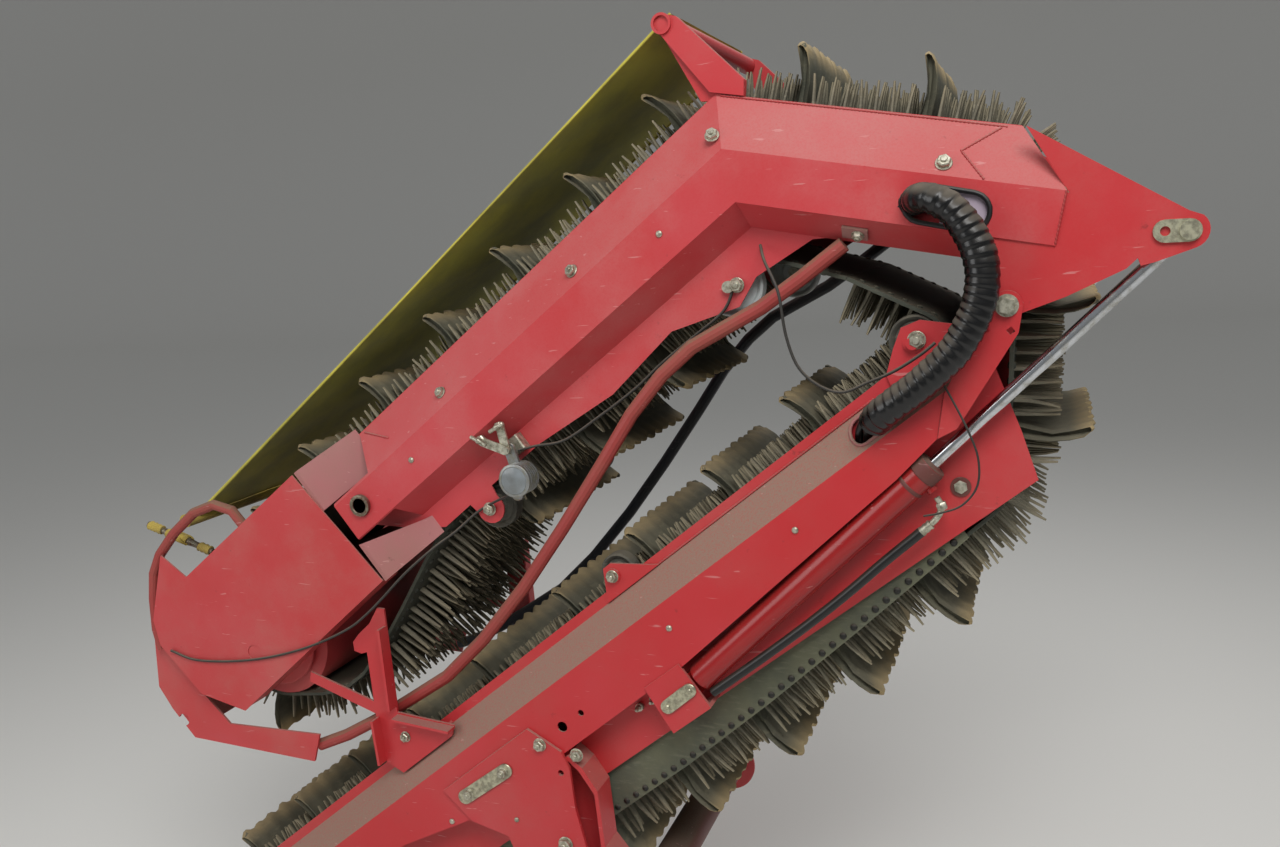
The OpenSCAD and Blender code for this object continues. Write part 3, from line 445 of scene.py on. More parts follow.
def beltRubber(name, look):
    # Moulded rubber, greyed by soil: dull, darker at the roots, tan mud dried on the tips, which on the
    # flights is partly a painted highlight
    material, tree, shader = startMaterial(name, ior=1.52, roughness=0.85)
    wear = addNode(tree, "ShaderNodeAttribute", (-900, 500), {"attribute_name": "wear"}).outputs["Fac"]
    patches = noiseAt(tree, (-900, 200), 9, 5)
    grain = noiseAt(tree, (-900, -100), 340, 3)  # 3 mm specks of soil
    streaks = noiseAt(tree, (-900, -400), 30, 3, 0.3, ((0, 0.65, 0), (1, 1, 4)))
    colour = mixColour(tree, (-500, 300), remap(tree, (-700, 200), patches, 0.3, 0.7),
                       linear(look["rubber"]), linear(look["soil"]))
    colour = mixColour(tree, (-300, 300), remap(tree, (-700, 0), streaks, 0.5, 0.75, 0, 0.45),
                       colour, linear(look["pale"]))
    # Tip colour: mud, on the flights also a painted highlight
    tips = combine(tree, (-500, 500), "MULTIPLY",
                   remap(tree, (-700, 500), wear, look["tipFrom"], 1.0, 0, look["tips"]),
                   remap(tree, (-700, -200), patches, 0.25, 0.6, 0.35, 1.0))
    colour = mixColour(tree, (-100, 300), tips, colour, linear(look["tipMudAndHighlight"]))
    up = remap(tree, (-700, 700), facingUp(tree, (-900, 700)), 0.35, 0.95, 0, look["dustUp"])
    colour = mixColour(tree, (100, 300), up, colour, linear(stains["driedSoil"]))
    tree.links.new(colour, shader.inputs["Base Color"])
    bumpFrom(tree, shader, (450, -300), grain, 0.35, 0.0015)
    return material


fingerRubber = beltRubber("fingerRubber", {
    "rubber": "#656254", "soil": "#837d6b", "pale": "#a59d86",
    "tipMudAndHighlight": "#9a8d70", "tipFrom": 0.35, "tips": 0.55, "dustUp": 0.35})
strapRubber = beltRubber("strapRubber", {
    "rubber": "#3d4037", "soil": "#4f5246", "pale": "#67675a",
    "tipMudAndHighlight": "#2c2d27", "tipFrom": 0.3, "tips": 0.75, "dustUp": 0.5})
# Tan flight tips: dried mud and a painted highlight
flightRubber = beltRubber("flightRubber", {
    "rubber": "#45473b", "soil": "#5d5b4a", "pale": "#7d775f",
    "tipMudAndHighlight": "#b0986a", "tipFrom": 0.66, "tips": 0.85, "dustUp": 0.3})
skirtRubber = beltRubber("skirtRubber", {
    "rubber": "#515446", "soil": "#63644f", "pale": "#7a7965",
    "tipMudAndHighlight": "#7a7058", "tipFrom": 0.5, "tips": 0.1, "dustUp": 0.3})
wheelRubber = beltRubber("wheelRubber", {
    "rubber": "#3a3a35", "soil": "#5a584e", "pale": "#7b776a",
    "tipMudAndHighlight": "#7a705f", "tipFrom": 0.3, "tips": 0.3, "dustUp": 0.4})


def zincSteel(name, tint, rust):
    # Zinc-plated steel fasteners: pale grey with a faint yellow cast, dull, rust in the corners
    material, tree, shader = startMaterial(name, metallic=0.75, roughness=0.45)
    patches = noiseAt(tree, (-700, 300), 90, 4)
    colour = mixColour(tree, (-300, 300), remap(tree, (-500, 300), patches, 0.35, 0.7),
                       linear(tint), linear(stains["dullZinc"]))
    spots = remap(tree, (-500, 0), noiseAt(tree, (-700, 0), 160, 5), 0.55, 0.7, 0, rust)
    colour = mixColour(tree, (-100, 300), spots, colour, linear(stains["rust"]))
    tree.links.new(colour, shader.inputs["Base Color"])
    tree.links.new(remap(tree, (100, 0), spots, 0, 0.6, 0.42, 0.85), shader.inputs["Roughness"])
    bumpFrom(tree, shader, (450, -300), patches, 0.15, 0.0005)
    return material


zinc = zincSteel("zincPlatedSteel", "#c9c6b4", 0.35)
rustySteel = zincSteel("rustySteel", "#6e5a4c", 0.95)
plateZinc = zincSteel("zincKeeperPlate", "#c4c1a6", 0.22)


def chromedRod():
    # Hard chrome on a ground rod: mirror-bright, with a thin haze of oil and dust
    material, tree, shader = startMaterial("hardChrome", metallic=1.0, roughness=0.16)
    haze = noiseAt(tree, (-500, 200), 40, 4)
    colour = mixColour(tree, (100, 200), remap(tree, (-100, 200), haze, 0.4, 0.75),
                       linear("#cfd2d6"), linear("#a9a79f"))
    tree.links.new(colour, shader.inputs["Base Color"])
    tree.links.new(remap(tree, (100, -100), haze, 0.4, 0.8, 0.12, 0.4), shader.inputs["Roughness"])
    return material


def sleeveRubber(name, colour, dust, gloss):
    # Black hose cover: wipes glossy on its sides, dust lies on the top of each turn
    material, tree, shader = startMaterial(name, ior=1.52, roughness=gloss)
    patches = noiseAt(tree, (-700, 0), 22, 4)
    up = remap(tree, (-500, 300), facingUp(tree, (-700, 300)), 0.05, 0.85, 0, dust)
    share = combine(tree, (-300, 200), "MULTIPLY", up, remap(tree, (-500, 0), patches, 0.25, 0.6, 0.5, 1.0))
    mixed = mixColour(tree, (100, 200), share, linear(colour), linear(stains["hoseDust"]))
    tree.links.new(mixed, shader.inputs["Base Color"])
    tree.links.new(remap(tree, (100, -100), share, 0, 0.6, gloss, 0.85), shader.inputs["Roughness"])
    bumpFrom(tree, shader, (450, -300), noiseAt(tree, (100, -400), 500, 2), 0.12, 0.0004)
    return material


bundleSleeve = sleeveRubber("hoseSleeve", "#0b0b0c", 0.85, 0.24)
hoseRubber = sleeveRubber("hydraulicHose", "#090909", 0.22, 0.34)
cableSleeve = sleeveRubber("cableSheath", "#2b2925", 0.9, 0.6)
edgeRubber = sleeveRubber("edgeTrimRubber", "#121213", 0.4, 0.45)
studRubber = sleeveRubber("rivetHeads", "#14140f", 0.5, 0.5)


def canvasCloth(name, look):
    # Coated canvas, plain weave, olive-yellow where light passes, stained darker by soil
    material, tree, shader = startMaterial(name, ior=1.45, roughness=0.8)
    shader.inputs["Sheen Weight"].default_value = 0.15
    coords = addNode(tree, "ShaderNodeTexCoord", (-1300, 0))
    weave = []
    for k, direction in enumerate(("X", "Y")):
        # Threads 2 mm apart, coarser than real so that they show
        wave = addNode(tree, "ShaderNodeTexWave", (-900, -300 * k), {"bands_direction": direction},
                       {"Scale": 160, "Distortion": 0.6, "Detail": 1}, {"Vector": coords.outputs["Object"]})
        weave.append(wave.outputs["Fac"])
    threads = combine(tree, (-600, -200), "MULTIPLY", weave[0], weave[1])
    stain = noiseAt(tree, (-900, 400), 6, 5)
    colour = mixColour(tree, (-300, 300), remap(tree, (-500, 300), stain, 0.35, 0.7),
                       linear(look["cloth"]), linear(look["stain"]))
    colour = mixColour(tree, (-100, 300), remap(tree, (-300, 0), threads, 0.0, 0.8, 0, 0.25),
                       colour, linear(look["thread"]))
    tree.links.new(colour, shader.inputs["Base Color"])
    bumpFrom(tree, shader, (450, -300), threads, 0.25, 0.0006)
    return material


canvasMaterial = canvasCloth("oliveCanvas", {"cloth": "#b6b026", "stain": "#8f8b28", "thread": "#cdc644"})
hemMaterial = canvasCloth("canvasHem", {"cloth": "#c9bf4a", "stain": "#a59c3c", "thread": "#ddd46c"})
ropeMaterial = canvasCloth("yellowRope", {"cloth": "#b8a040", "stain": "#8a743a", "thread": "#d8c878"})


def plainPlastic(name, colour, dust, roughness):
    # Cast nylon or ABS: smooth, slightly waxy, greyed by handling
    material, tree, shader = startMaterial(name, ior=1.5, roughness=roughness)
    patches = noiseAt(tree, (-500, 200), 14, 5)
    mixed = mixColour(tree, (100, 200), remap(tree, (-100, 200), patches, 0.35, 0.75, 0, 0.7),
                      linear(colour), linear(dust))
    tree.links.new(mixed, shader.inputs["Base Color"])
    bumpFrom(tree, shader, (450, -300), patches, 0.05, 0.001)
    return material


whiteNylon = plainPlastic("whiteNylonWheel", "#c9d0cf", "#8f8f86", 0.4)
lampAlloy = zincSteel("castLampAlloy", "#9a9c9c", 0.1)
lampGlass = plainPlastic("lampLens", "#8b9296", "#5b5b55", 0.15)
chrome = chromedRod()
print("materials made")

# CAD pieces that keep their shape, by the finish they get
nodeFinish = {
    redPaint: ["arm_web_near", "arm_web_far", "hinge_bracket_near", "hinge_bracket_far",
               "belt_wheel_brackets", "base_bracket_near", "base_bracket_far", "cradle_near", "cradle_far",
               "cylinder_anchors", "tail_plate_near", "tail_plate_far", "canvas_frame"],
    shoulderPaint: ["arm_box_near", "arm_box_far"],
    neckPaint: ["neck_web_near", "neck_web_far", "neck_box_near", "neck_box_far"],
    coverPaint: ["head_cover_near", "head_cover_far", "tip_guard"],
    jointPaint: ["head_joint_plates"],
    tubePaint: ["tip_hoops", "guard_tube_near"],
    # The far guard tube's dark blue-grey is painted shade and a painted reflection
    farTubeShadePaint: ["guard_tube_far"],
    darkPaint: ["base_drum", "base_pivot_tube", "arm_end_roller", "arm_cross_tubes", "neck_support_rollers",
                "neck_end_roller", "neck_cross_tubes"],
    barrelPaint: ["cylinder_barrel_near", "cylinder_barrel_far"],
    zinc: ["hinge_pins"],
    plateZinc: ["cylinder_pins", "rod_pin_keepers"],
    chrome: ["cylinder_rod_near", "cylinder_rod_far"],
    ropeMaterial: ["canvas_bar"],
}
for finish, names in nodeFinish.items():
    for name in names:
        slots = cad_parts[name].data.materials
        for index in range(len(slots)):
            slots[index] = finish
        if len(slots) == 0:
            slots.append(finish)

# Belt: the pitch is from flight to flight, with rows of fingers an eighth of it apart. Each margin, from
# there to the edge, stands up a little and carries the rivets
belt = {"width": 600, "thick": 8, "rowWidth": 500, "pitch": 238, "rows": 8, "margin": 262, "rivetAcross": 274,
        "rivetStep": 29.75, "rivet": [(7, -1.5), (7, 1), (5.4, 2.8), (2.6, 3.6)], "rivetSides": 8}
finger = {"across": 17, "tall": 90, "lean": 3.5, "sides": 6}
flight = {"tall": 150, "rib": 2.2, "groove": -1.2, "torn": 7, "shape": [
    (-14, -1), (-4, 34), (1, 72), (-5, 110), (-15, 138), (-17, 146), (-12, 149.5), (-6, 146), (3, 134),
    (11, 104), (15, 70), (14, 34), (10, -1)]}


def arcPoints(centre, radius, first, last, count):
    return [(centre[0] + radius * math.cos(math.radians(first + (last - first) * i / count)),
             centre[1] + radius * math.sin(math.radians(first + (last - first) * i / count)))
            for i in range(count + 1)]


# Where the belts turn, and the radius of the belt's fingered face round each
armEnd, armEndReach = (-278, -221), 86
baseEnd, baseEndReach = (-2450, -150), 119
holdWheel, holdReach = (-176, 48), 51
guideWheel = (-981, 49)
neckEnd, neckEndReach = (-90, 215), 67
bendRoller, bendRollerReach = (-579, 229), 51
bendWheel, bendWheelReach = (-521, -53), 63
headDrum, headDrumReach = (1690, -235), 151
darkWheel = (955, -330)
bend = elevator["neckBend"]
lowerRoute = (arcPoints(armEnd, armEndReach, -40, -92, 6)
              + [(-430, -318), (-629, -338), (-881, -360), (-1126, -374), (-1361, -378), (-1560, -372),
                 (-1800, -350), (-2100, -312), (-2300, -285)]
              + arcPoints(baseEnd, baseEndReach, -88, -272, 18)
              + [(-2200, -36), (-1700, -40), (-1200, -38), (-800, -32), (-520, -22), (-300, -10)]
              + arcPoints(holdWheel, holdReach, -91, -40, 5))
innerLegRun = [(300, -243), (500, -256), (760, -270), (900, -276), (1000, -276), (1080, -290), (1190, -325),
               (1325, -375), (1450, -418), (1540, -440), (1620, -440), (1685, -414)]
outerLegRun = [(1235, -28), (850, -23), (437, -23)]
upperRoute = ([(-300, -8), (-420, 4)]
              + arcPoints(bendWheel, bendWheelReach, 90, 90 + bend, 6)
              + [legInNeck(x, y)
                 for x, y in innerLegRun + arcPoints(headDrum, headDrumReach, -60, 83, 18) + outerLegRun]
              + arcPoints(bendRoller, bendRollerReach, 90 + bend, 90, 6)
              + arcPoints(neckEnd, neckEndReach, 92, 9, 8))


def beltPieces(name, body, nodes, route, spans, place):
    # A strap with rivets on its margins, rows of fingers and a flight every few rows.
    # The route's left side carries the fingers. Each span is (start, end, first flight at)
    line = evenPath([Vector((x, 0, z)) for x, z in route], 12)
    lengths = [0.0]
    for a, b in zip(line, line[1:]):
        lengths.append(lengths[-1] + (b - a).length)

    def pose(s):
        s = min(max(s, 0), lengths[-1] - 0.01)
        i = min(int(s / lengths[-1] * (len(line) - 1)), len(line) - 2)
        a, b = line[max(i - 1, 0)], line[min(i + 2, len(line) - 1)]
        tangent = (b - a).normalized()
        share = (s - lengths[i]) / max(lengths[i + 1] - lengths[i], 1e-9)
        point = line[i].lerp(line[i + 1], share)
        return point, tangent, Vector((-tangent.z, 0, tangent.x))

    def put(s, along, away, across):
        point, tangent, normal = pose(s)
        p = point + tangent * along + normal * away
        return at(place(p.x, p.z), across)

    half = belt["width"] / 2
    margin = belt["margin"]
    under = -belt["thick"]
    section = [(-half, under), (-half, -0.6), (-half + 3, 0), (-margin, 0), (3 - margin, -1.5), (0, -1.5),
               (margin - 3, -1.5), (margin, 0), (half - 3, 0), (half, -0.6), (half, under), (0, under)]
    strap = Parts()
    verts = []
    faces = []
    count = len(line)
    for i in range(count):
        for across, away in section:
            verts.append(put(lengths[i], 0, away, across))
    n = len(section)
    for i in range(count - 1):
        for k in range(n):
            m = (k + 1) % n
            faces.append((i * n + k, i * n + m, (i + 1) * n + m, (i + 1) * n + k))
    faces.append(tuple(range(n)))
    faces.append(tuple((count - 1) * n + k for k in reversed(range(n))))
    strap.add(verts, faces)
    domeVerts = len(belt["rivet"]) * belt["rivetSides"]
    s = 20
    while s < lengths[-1] - 10:
        normal = pose(s)[2]
        outwards = at(place(normal.x, normal.z), 0) - at(place(0, 0), 0)
        for side in (-1, 1):
            for away, axis, worn in ((0, outwards, 0.9), (under, -outwards, 0.2)):
                centre = put(s, 0, away, side * belt["rivetAcross"])
                strap.add(*turned(belt["rivet"], centre, axis, belt["rivetSides"]), wear=[worn] * domeVerts)
        s += belt["rivetStep"]
    strapPiece = makePiece(name + "Strap", strap.verts, strap.faces, body, strapRubber, 40, strap.wear)

    fingers = Parts()
    flights = Parts()
    pitch = belt["pitch"]
    step = pitch / belt["rows"]
    gap = belt["rowWidth"] / finger["across"]
    for start, end, firstFlight in spans:
        s = start
        rowIndex = 0
        while s < end:
            away = None if firstFlight is None else (s - firstFlight + 0.5) % pitch
            if away is not None and away < 1.0 and s > firstFlight - 1:
                addFlight(flights, put, s)
            elif away is None or min(away, pitch - away) > step * 0.6 or s < firstFlight - pitch:
                shift = gap * (0.25 if rowIndex % 2 else 0.75)  # every other row stands half a gap aside
                for k in range(finger["across"]):
                    addFinger(fingers, put, s, -belt["rowWidth"] / 2 + shift + k * gap)
            s += step
            rowIndex += 1
    pieces = [strapPiece]
    for ending, parts, rubber in (("Fingers", fingers, fingerRubber), ("Flights", flights, flightRubber)):
        if parts.verts:
            pieces.append(makePiece(name + ending, parts.verts, parts.faces, body, rubber, 50, parts.wear))
    for piece in pieces:
        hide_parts(*nodes)
    return pieces


def addFinger(parts, put, s, across):
    # A tapered rubber finger, a little bent by use
    leanAlong = random.gauss(0, finger["lean"])
    leanAcross = random.gauss(0, finger["lean"])
    tall = finger["tall"] * random.uniform(0.92, 1.0)
    # Height, half width across the belt and along it, wear
    rings = [(-1.5, 8.6, 5.2, 0.0), (0.35 * tall, 7.2, 4.2, 0.3), (0.75 * tall, 5.2, 3.2, 0.75),
             (tall, 3.0, 2.2, 1.0)]
    sides = finger["sides"]
    verts = []
    wear = []
    for away, wide, deep, worn in rings:
        share = max(away, 0) / tall
        bendBy = share * share
        for k in range(sides):
            angle = 2 * math.pi * k / sides
            verts.append(put(s, leanAlong * bendBy * 1.5 + deep * math.cos(angle), away,
                             across + leanAcross * bendBy * 1.5 + wide * math.sin(angle)))
            wear.append(worn)
    faces = []
    for i in range(len(rings) - 1):
        for k in range(sides):
            n = (k + 1) % sides
            faces.append((i * sides + k, (i + 1) * sides + k, (i + 1) * sides + n, i * sides + n))
    faces.append(tuple(range((len(rings) - 1) * sides, len(rings) * sides)))
    parts.add(verts, faces, wear)


def addFlight(parts, put, s):
    # A tall paddle across the belt: folded rubber with ribs on its face and an open fold at its ends
    shape = flight["shape"]
    half = belt["rowWidth"] / 2
    stations = [-half, -half + 2] + [-half + 12.5 * k for k in range(1, 40)] + [half - 2, half]
    count = len(shape)
    verts = []
    wear = []
    for j, across in enumerate(stations):
        edge = 1.5 if j in (0, len(stations) - 1) else 0.0
        sway = 2.5 * math.sin(across / 70 + s * 0.01)
        onRib = j % 4 < 2
        rib = flight["rib"] if onRib else flight["groove"]
        torn = (flight["torn"] if onRib else 0) + 5 * math.sin(across / 23 + s) ** 2
        for along, away in shape:
            share = max(away, 0) / flight["tall"]
            side = 1 if along > -5 * share else -1
            grow = (rib * side if 0.1 < share < 0.9 else 0) - edge * side
            away -= torn * max(share - 0.6, 0) * 2.5 + edge * (1 if away > 100 else 0)
            verts.append(put(s, along + grow + sway * share, away, across))
            wear.append(share)
    faces = []
    for j in range(len(stations) - 1):
        for k in range(count):
            n = (k + 1) % count
            faces.append((j * count + k, j * count + n, (j + 1) * count + n, (j + 1) * count + k))
    middleX = sum(p[0] for p in shape) / count
    for j, turn in ((0, 1), (len(stations) - 1, -1)):
        # Each end opens into a hollow 14 mm deep
        base = j * count
        innerStart = len(verts)
        across = stations[j] + turn * 14
        for along, away in shape:
            share = max(away, 0) / flight["tall"]
            lean = -4 * math.sin(share * 3.1)
            verts.append(put(s, middleX + (along - middleX) * 0.5 + lean * 0.3, away * 0.94 + 3, across))
            wear.append(0.0)
        for k in range(count):
            n = (k + 1) % count
            face = (base + k, innerStart + k, innerStart + n, base + n)
            faces.append(face if turn > 0 else tuple(reversed(face)))
        cap = tuple(innerStart + k for k in range(count))
        faces.append(cap if turn < 0 else tuple(reversed(cap)))
    parts.add(verts, faces, wear)


def routeLength(route):
    return sum(math.dist(a, b) for a, b in zip(route, route[1:]))


beltPieces("lowerBelt", "main_arm", ["belt_lower_turns", "belt_lower_runs"], lowerRoute,
           [(40, 3160, 278.5), (3200, 3720, 3378.5), (3740, routeLength(lowerRoute) - 90, 3918.5)], armPlace)
beltPieces("upperBelt", "neck", ["belt_upper_turns", "belt_upper_runs"], upperRoute,
           [(340, 1060, 518.5), (1100, 1640, None), (1760, routeLength(upperRoute) - 30, 1938.5)], neckPlace)


def turnedBy(point, angle):
    return (point[0] * math.cos(angle) - point[1] * math.sin(angle),
            point[0] * math.sin(angle) + point[1] * math.cos(angle))


# The two stretches that cross the fold: a straight one outside, and one from the hold-down wheel inside
outerTop = turnedBy(upperRoute[-1], -neckTurn)
outerLow = turnedBy(lowerRoute[0], armTurn)
outerSpan = math.dist(outerTop, outerLow)
outerFold = beltPieces("outerFold", None, ["belt_fold_outer"], [outerTop, outerLow],
                       [(30, outerSpan - 25, 238.5)], foldPlace)
wheelInFold = turnedBy(holdWheel, armTurn)
innerTop = turnedBy(upperRoute[0], -neckTurn)
toward = (innerTop[0] - wheelInFold[0], innerTop[1] - wheelInFold[1])
contact = math.degrees(math.atan2(toward[1], toward[0]) - math.acos(holdReach / math.hypot(*toward)))
innerRoute = arcPoints(wheelInFold, holdReach, elevator["armSlope"] - 39, contact, 6) + [innerTop]
innerSpan = routeLength(innerRoute)
innerFold = beltPieces("innerFold", None, ["belt_fold_inner"], innerRoute,
                       [(62, innerSpan - 12, None)], foldPlace)
for pieces, low, top in ((outerFold, outerLow, outerTop), (innerFold, wheelInFold, innerTop)):
    for piece in pieces:
        at(foldPlace(*low), 0)
        at(foldPlace(*top), 0)
        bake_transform(piece)
print("belts made")

# Rubber skirts that close the gap between the arm's side plates and the belt's lower run
skirt = {"inner": 303, "outer": 307, "top": -262, "studRise": 12,
         "stud": [(7.5, 0), (7, 2), (4, 3.6), (0.01, 4.2)],
         "edge": [(-330, -311), (-430, -322), (-629, -342), (-881, -364), (-1126, -378), (-1361, -382),
                  (-1560, -376), (-1800, -354), (-2100, -316), (-2300, -289)]}
skirtOutline = skirt["edge"] + [(skirt["edge"][-1][0], skirt["top"]), (skirt["edge"][0][0], skirt["top"])]
skirts = Parts()
studs = Parts()
for side in (-1, 1):
    near, far = sorted((side * skirt["inner"], side * skirt["outer"]))
    skirts.add(*plateSolid([armPlace(u, v) for u, v in skirtOutline], near, far))
    edge = evenPath([Vector((u, 0, v)) for u, v in skirt["edge"]], belt["rivetStep"])
    for p in edge[1:-1]:
        place = at(armPlace(p.x, p.z + skirt["studRise"]), side * skirt["outer"])
        studs.add(*turned(skirt["stud"], place, (0, side, 0), 10))
partsPiece("beltSkirts", skirts, "main_arm", skirtRubber, 30)
partsPiece("skirtRivets", studs, "main_arm", studRubber, 50)

# Head drum with its side discs and hubs, and the shaft between the covers
drum = {"radius": 142, "half": 300, "shaft": 20, "shaftHalf": 392, "discAt": 308, "hubAt": 318,
        "disc": [(109, 0), (112, 3), (112, 7), (109, 10)], "hub": [(55, 0), (55, 70), (52, 71.5)]}
drumParts = Parts()
drumAxis = legPlace(*headDrum)
for radius, half, sides in ((drum["radius"], drum["half"], 72), (drum["shaft"], drum["shaftHalf"], 24)):
    drumParts.add(*turned([(radius, 0), (radius, 2 * half)], at(drumAxis, -half), (0, 1, 0), sides))
for side in (-1, 1):
    drumParts.add(*turned(drum["disc"], at(drumAxis, side * drum["discAt"]), (0, side, 0), 56))
    drumParts.add(*turned(drum["hub"], at(drumAxis, side * drum["hubAt"]), (0, side, 0), 40))
partsPiece("headDrum", drumParts, "neck", coverPaint, 40, ["head_drum"])

# Hold-down wheels: rubber or nylon tyres with a hub, on both margins of the belt
wheels = [
    ("armHoldWheels", "main_arm", armPlace(*holdWheel), 50, wheelRubber, "arm_belt_wheels"),
    ("armGuideWheels", "main_arm", armPlace(*guideWheel), 40, wheelRubber, "arm_belt_wheels"),
    ("bendWheels", "neck", neckPlace(*bendWheel), 62, whiteNylon, "neck_belt_wheels"),
    ("slackWheels", "neck", legPlace(*darkWheel), 52, wheelRubber, "neck_belt_wheels"),
]
for name, body, place, radius, finish, node in wheels:
    rim = [(13, 0), (13, 3), (radius * 0.45, 3), (radius * 0.52, 8), (radius - 12, 8), (radius - 9, 3),
           (radius - 4, 0), (radius, 4), (radius, 32), (radius - 4, 36), (radius - 9, 33), (radius - 12, 28),
           (radius * 0.52, 28), (radius * 0.45, 33), (13, 33), (13, 36), (12.2, 36), (12.2, 0), (13, 0)]
    wheel = Parts()
    for side in (-1, 1):
        verts, faces = turned(rim, at(place, side * belt["margin"]), (0, side, 0), 40)
        wheel.add(verts, faces[:-2])  # the rim closes on itself, so it has no end faces
    partsPiece(name, wheel, body, finish, nodes=[node])
axle = {"radius": 12, "length": 78, "from": 256}
axles = Parts()
for place in (neckPlace(*bendWheel), legPlace(*darkWheel)):
    for side in (-1, 1):
        axles.add(*turned([(axle["radius"], 0), (axle["radius"], axle["length"])],
                          at(place, side * axle["from"]), (0, side, 0), 20))
partsPiece("wheelAxles", axles, "neck", zinc, nodes=["neck_belt_wheels"])


def addBolt(parts, centre, axis, size, washer=True, low=False):
    # Hex bolt with a chamfered head on a flat washer; size is the thread's diameter
    across = size * 0.87
    base = 0.0
    if washer:
        parts.add(*turned([(size * 1.02, 0), (size * 1.02, size * 0.12), (size * 0.95, size * 0.17),
                           (size * 0.3, size * 0.17)], centre, axis, 20))
        base = size * 0.17
    tall = size * (0.22 if low else 0.62)
    parts.add(*turned([(across, base), (across, base + tall * 0.8), (across * 0.86, base + tall),
                       (0.01, base + tall)], centre, axis, 6, random.uniform(0, 1)))
    if not low:
        parts.add(*turned([(size * 0.42, base + tall), (size * 0.42, base + tall * 1.3),
                           (size * 0.34, base + tall * 1.42), (0.01, base + tall * 1.42)], centre, axis, 12))


def addRivet(parts, centre, axis, radius):
    parts.add(*turned([(radius, 0), (radius * 0.92, radius * 0.35), (radius * 0.6, radius * 0.62),
                       (0.01, radius * 0.72)], centre, axis, 12))


# The neck's boxes slope 68 mm outwards over 101 mm of height, 121.8 mm along the sheet
slope = {"out": 68, "down": 101, "upShare": 68 / 121.8, "outShare": 101 / 121.8}


def slopeAxis(place, side):
    # Normal of the neck's sloping sheet, in the frame of one leg
    upDirection = (at(place(0, 1), 0) - at(place(0, 0), 0)).normalized()
    return upDirection * slope["upShare"] + Vector((0, side * slope["outShare"], 0))


def slopeDepth(below, lift=0.4):
    # Depth of the sloping sheet at a height below the leg's outer edge
    return elevator["webOut"] + below / slope["down"] * slope["out"] + lift


# Bolts and rivets: place, distance from the middle, thread size
bolts = {
    "armFlat": [((-167, 48), 332, 17), ((-981, 49), 332, 14), ((-1346, -144), 398, 15),
                ((-1287, -209), 394, 15), ((-1451, -355), 398, 17), ((-1583, -140), 403, 13),
                ((-1470, -146), 403, 13), ((-1670, 51), 358, 13)],
    "armLow": [((-278, -221), 325, 15)],
    "armRivets": [((-918, -106), 390, 7), ((-568, -97), 390, 7), ((-1520, -250), 398, 6),
                  ((-1680, -170), 390, 7)],
    "neckFlat": [((-505, -47), 326, 15)],
    "legRivets": [((241, -142), 390, 7), ((1001, -142), 390, 7)],
    "legSlope": [((437, -74), 14), ((850, -72), 13)],
    "neckSlope": [((-152, 226), 15), ((-581, 227), 14)],
}
armBolts = Parts()
neckBolts = Parts()
for side in (-1, 1):
    axis = (0, side, 0)
    for (u, v), depth, size in bolts["armFlat"]:
        addBolt(armBolts, at(armPlace(u, v), side * depth), axis, size)
    for (u, v), depth, size in bolts["armLow"]:
        addBolt(armBolts, at(armPlace(u, v), side * depth), axis, size, False, True)
    for (u, v), depth, size in bolts["armRivets"]:
        addRivet(armBolts, at(armPlace(u, v), side * depth), axis, size)
    for (x, z), depth, size in bolts["neckFlat"]:
        addBolt(neckBolts, at(neckPlace(x, z), side * depth), axis, size)
    for (x, y), depth, size in bolts["legRivets"]:
        addRivet(neckBolts, at(legPlace(x, y), side * depth), axis, size)
    for (x, y), size in bolts["legSlope"]:
        addBolt(neckBolts, at(legPlace(x, y), side * slopeDepth(-y)), slopeAxis(legPlace, side), size)
    for (x, z), size in bolts["neckSlope"]:
        addBolt(neckBolts, at(neckPlace(x, z), side * slopeDepth(elevator["neckTop"] - z)),
                slopeAxis(neckPlace, side), size)
    addBolt(neckBolts, at(legPlace(*darkWheel), side * 326), axis, 15)
partsPiece("armBolts", armBolts, "main_arm", zinc, 30)
partsPiece("neckBolts", neckBolts, "neck", zinc, 30)


def stadium(a, b, width, count=8):
    # Outline of a strap with round ends about two places
    angle = math.degrees(math.atan2(b[1] - a[1], b[0] - a[0]))
    return (arcPoints(a, width / 2, angle + 90, angle + 270, count)
            + arcPoints(b, width / 2, angle - 90, angle + 90, count))


# Keeper plates: rounded zinc straps over the pins, each with its two ends, width and depths
keeper = {"bracket": ((-1598, -141), (-1462, -146), 34, 398.3, 403),
          "cylinder": ((-1030, -235), (-966, -233), 30, 394.3, 399.5), "bevel": 1.2, "rivetAt": 399.4}
keepers = Parts()
for side in (-1, 1):
    for a, b, width, low, high in (keeper["bracket"], keeper["cylinder"]):
        outline = [armPlace(u, v) for u, v in stadium(a, b, width)]
        near, far = sorted((side * low, side * high))
        keepers.add(*plateSolid(outline, near, far, keeper["bevel"]))
    for u, v in keeper["cylinder"][:2]:
        addRivet(keepers, at(armPlace(u, v), side * keeper["rivetAt"]), (0, side, 0), 6)
partsPiece("keeperPlates", keepers, "main_arm", plateZinc, 30)
print("bolts and keepers made")

# Hose bundle: hoses wrapped in a ribbed sleeve, from the neck's window over the fold into the arm's slot
bundle = {"diameter": 61, "atWindow": 52, "turn": 17, "ridge": 2.4,
          "route": [(-154, -396, 190), (-143, -420, 195), (-122, -436, 193), (-90, -440, 176),
                    (-62, -440, 139), (-43, -440, 99), (-36, -440, 56), (-41, -440, 14), (-58, -440, -29),
                    (-83, -439, -72), (-117, -437, -107), (-156, -434, -141), (-200, -428, -173),
                    (-225, -411, -194), (-234, -399, -207.5)]}


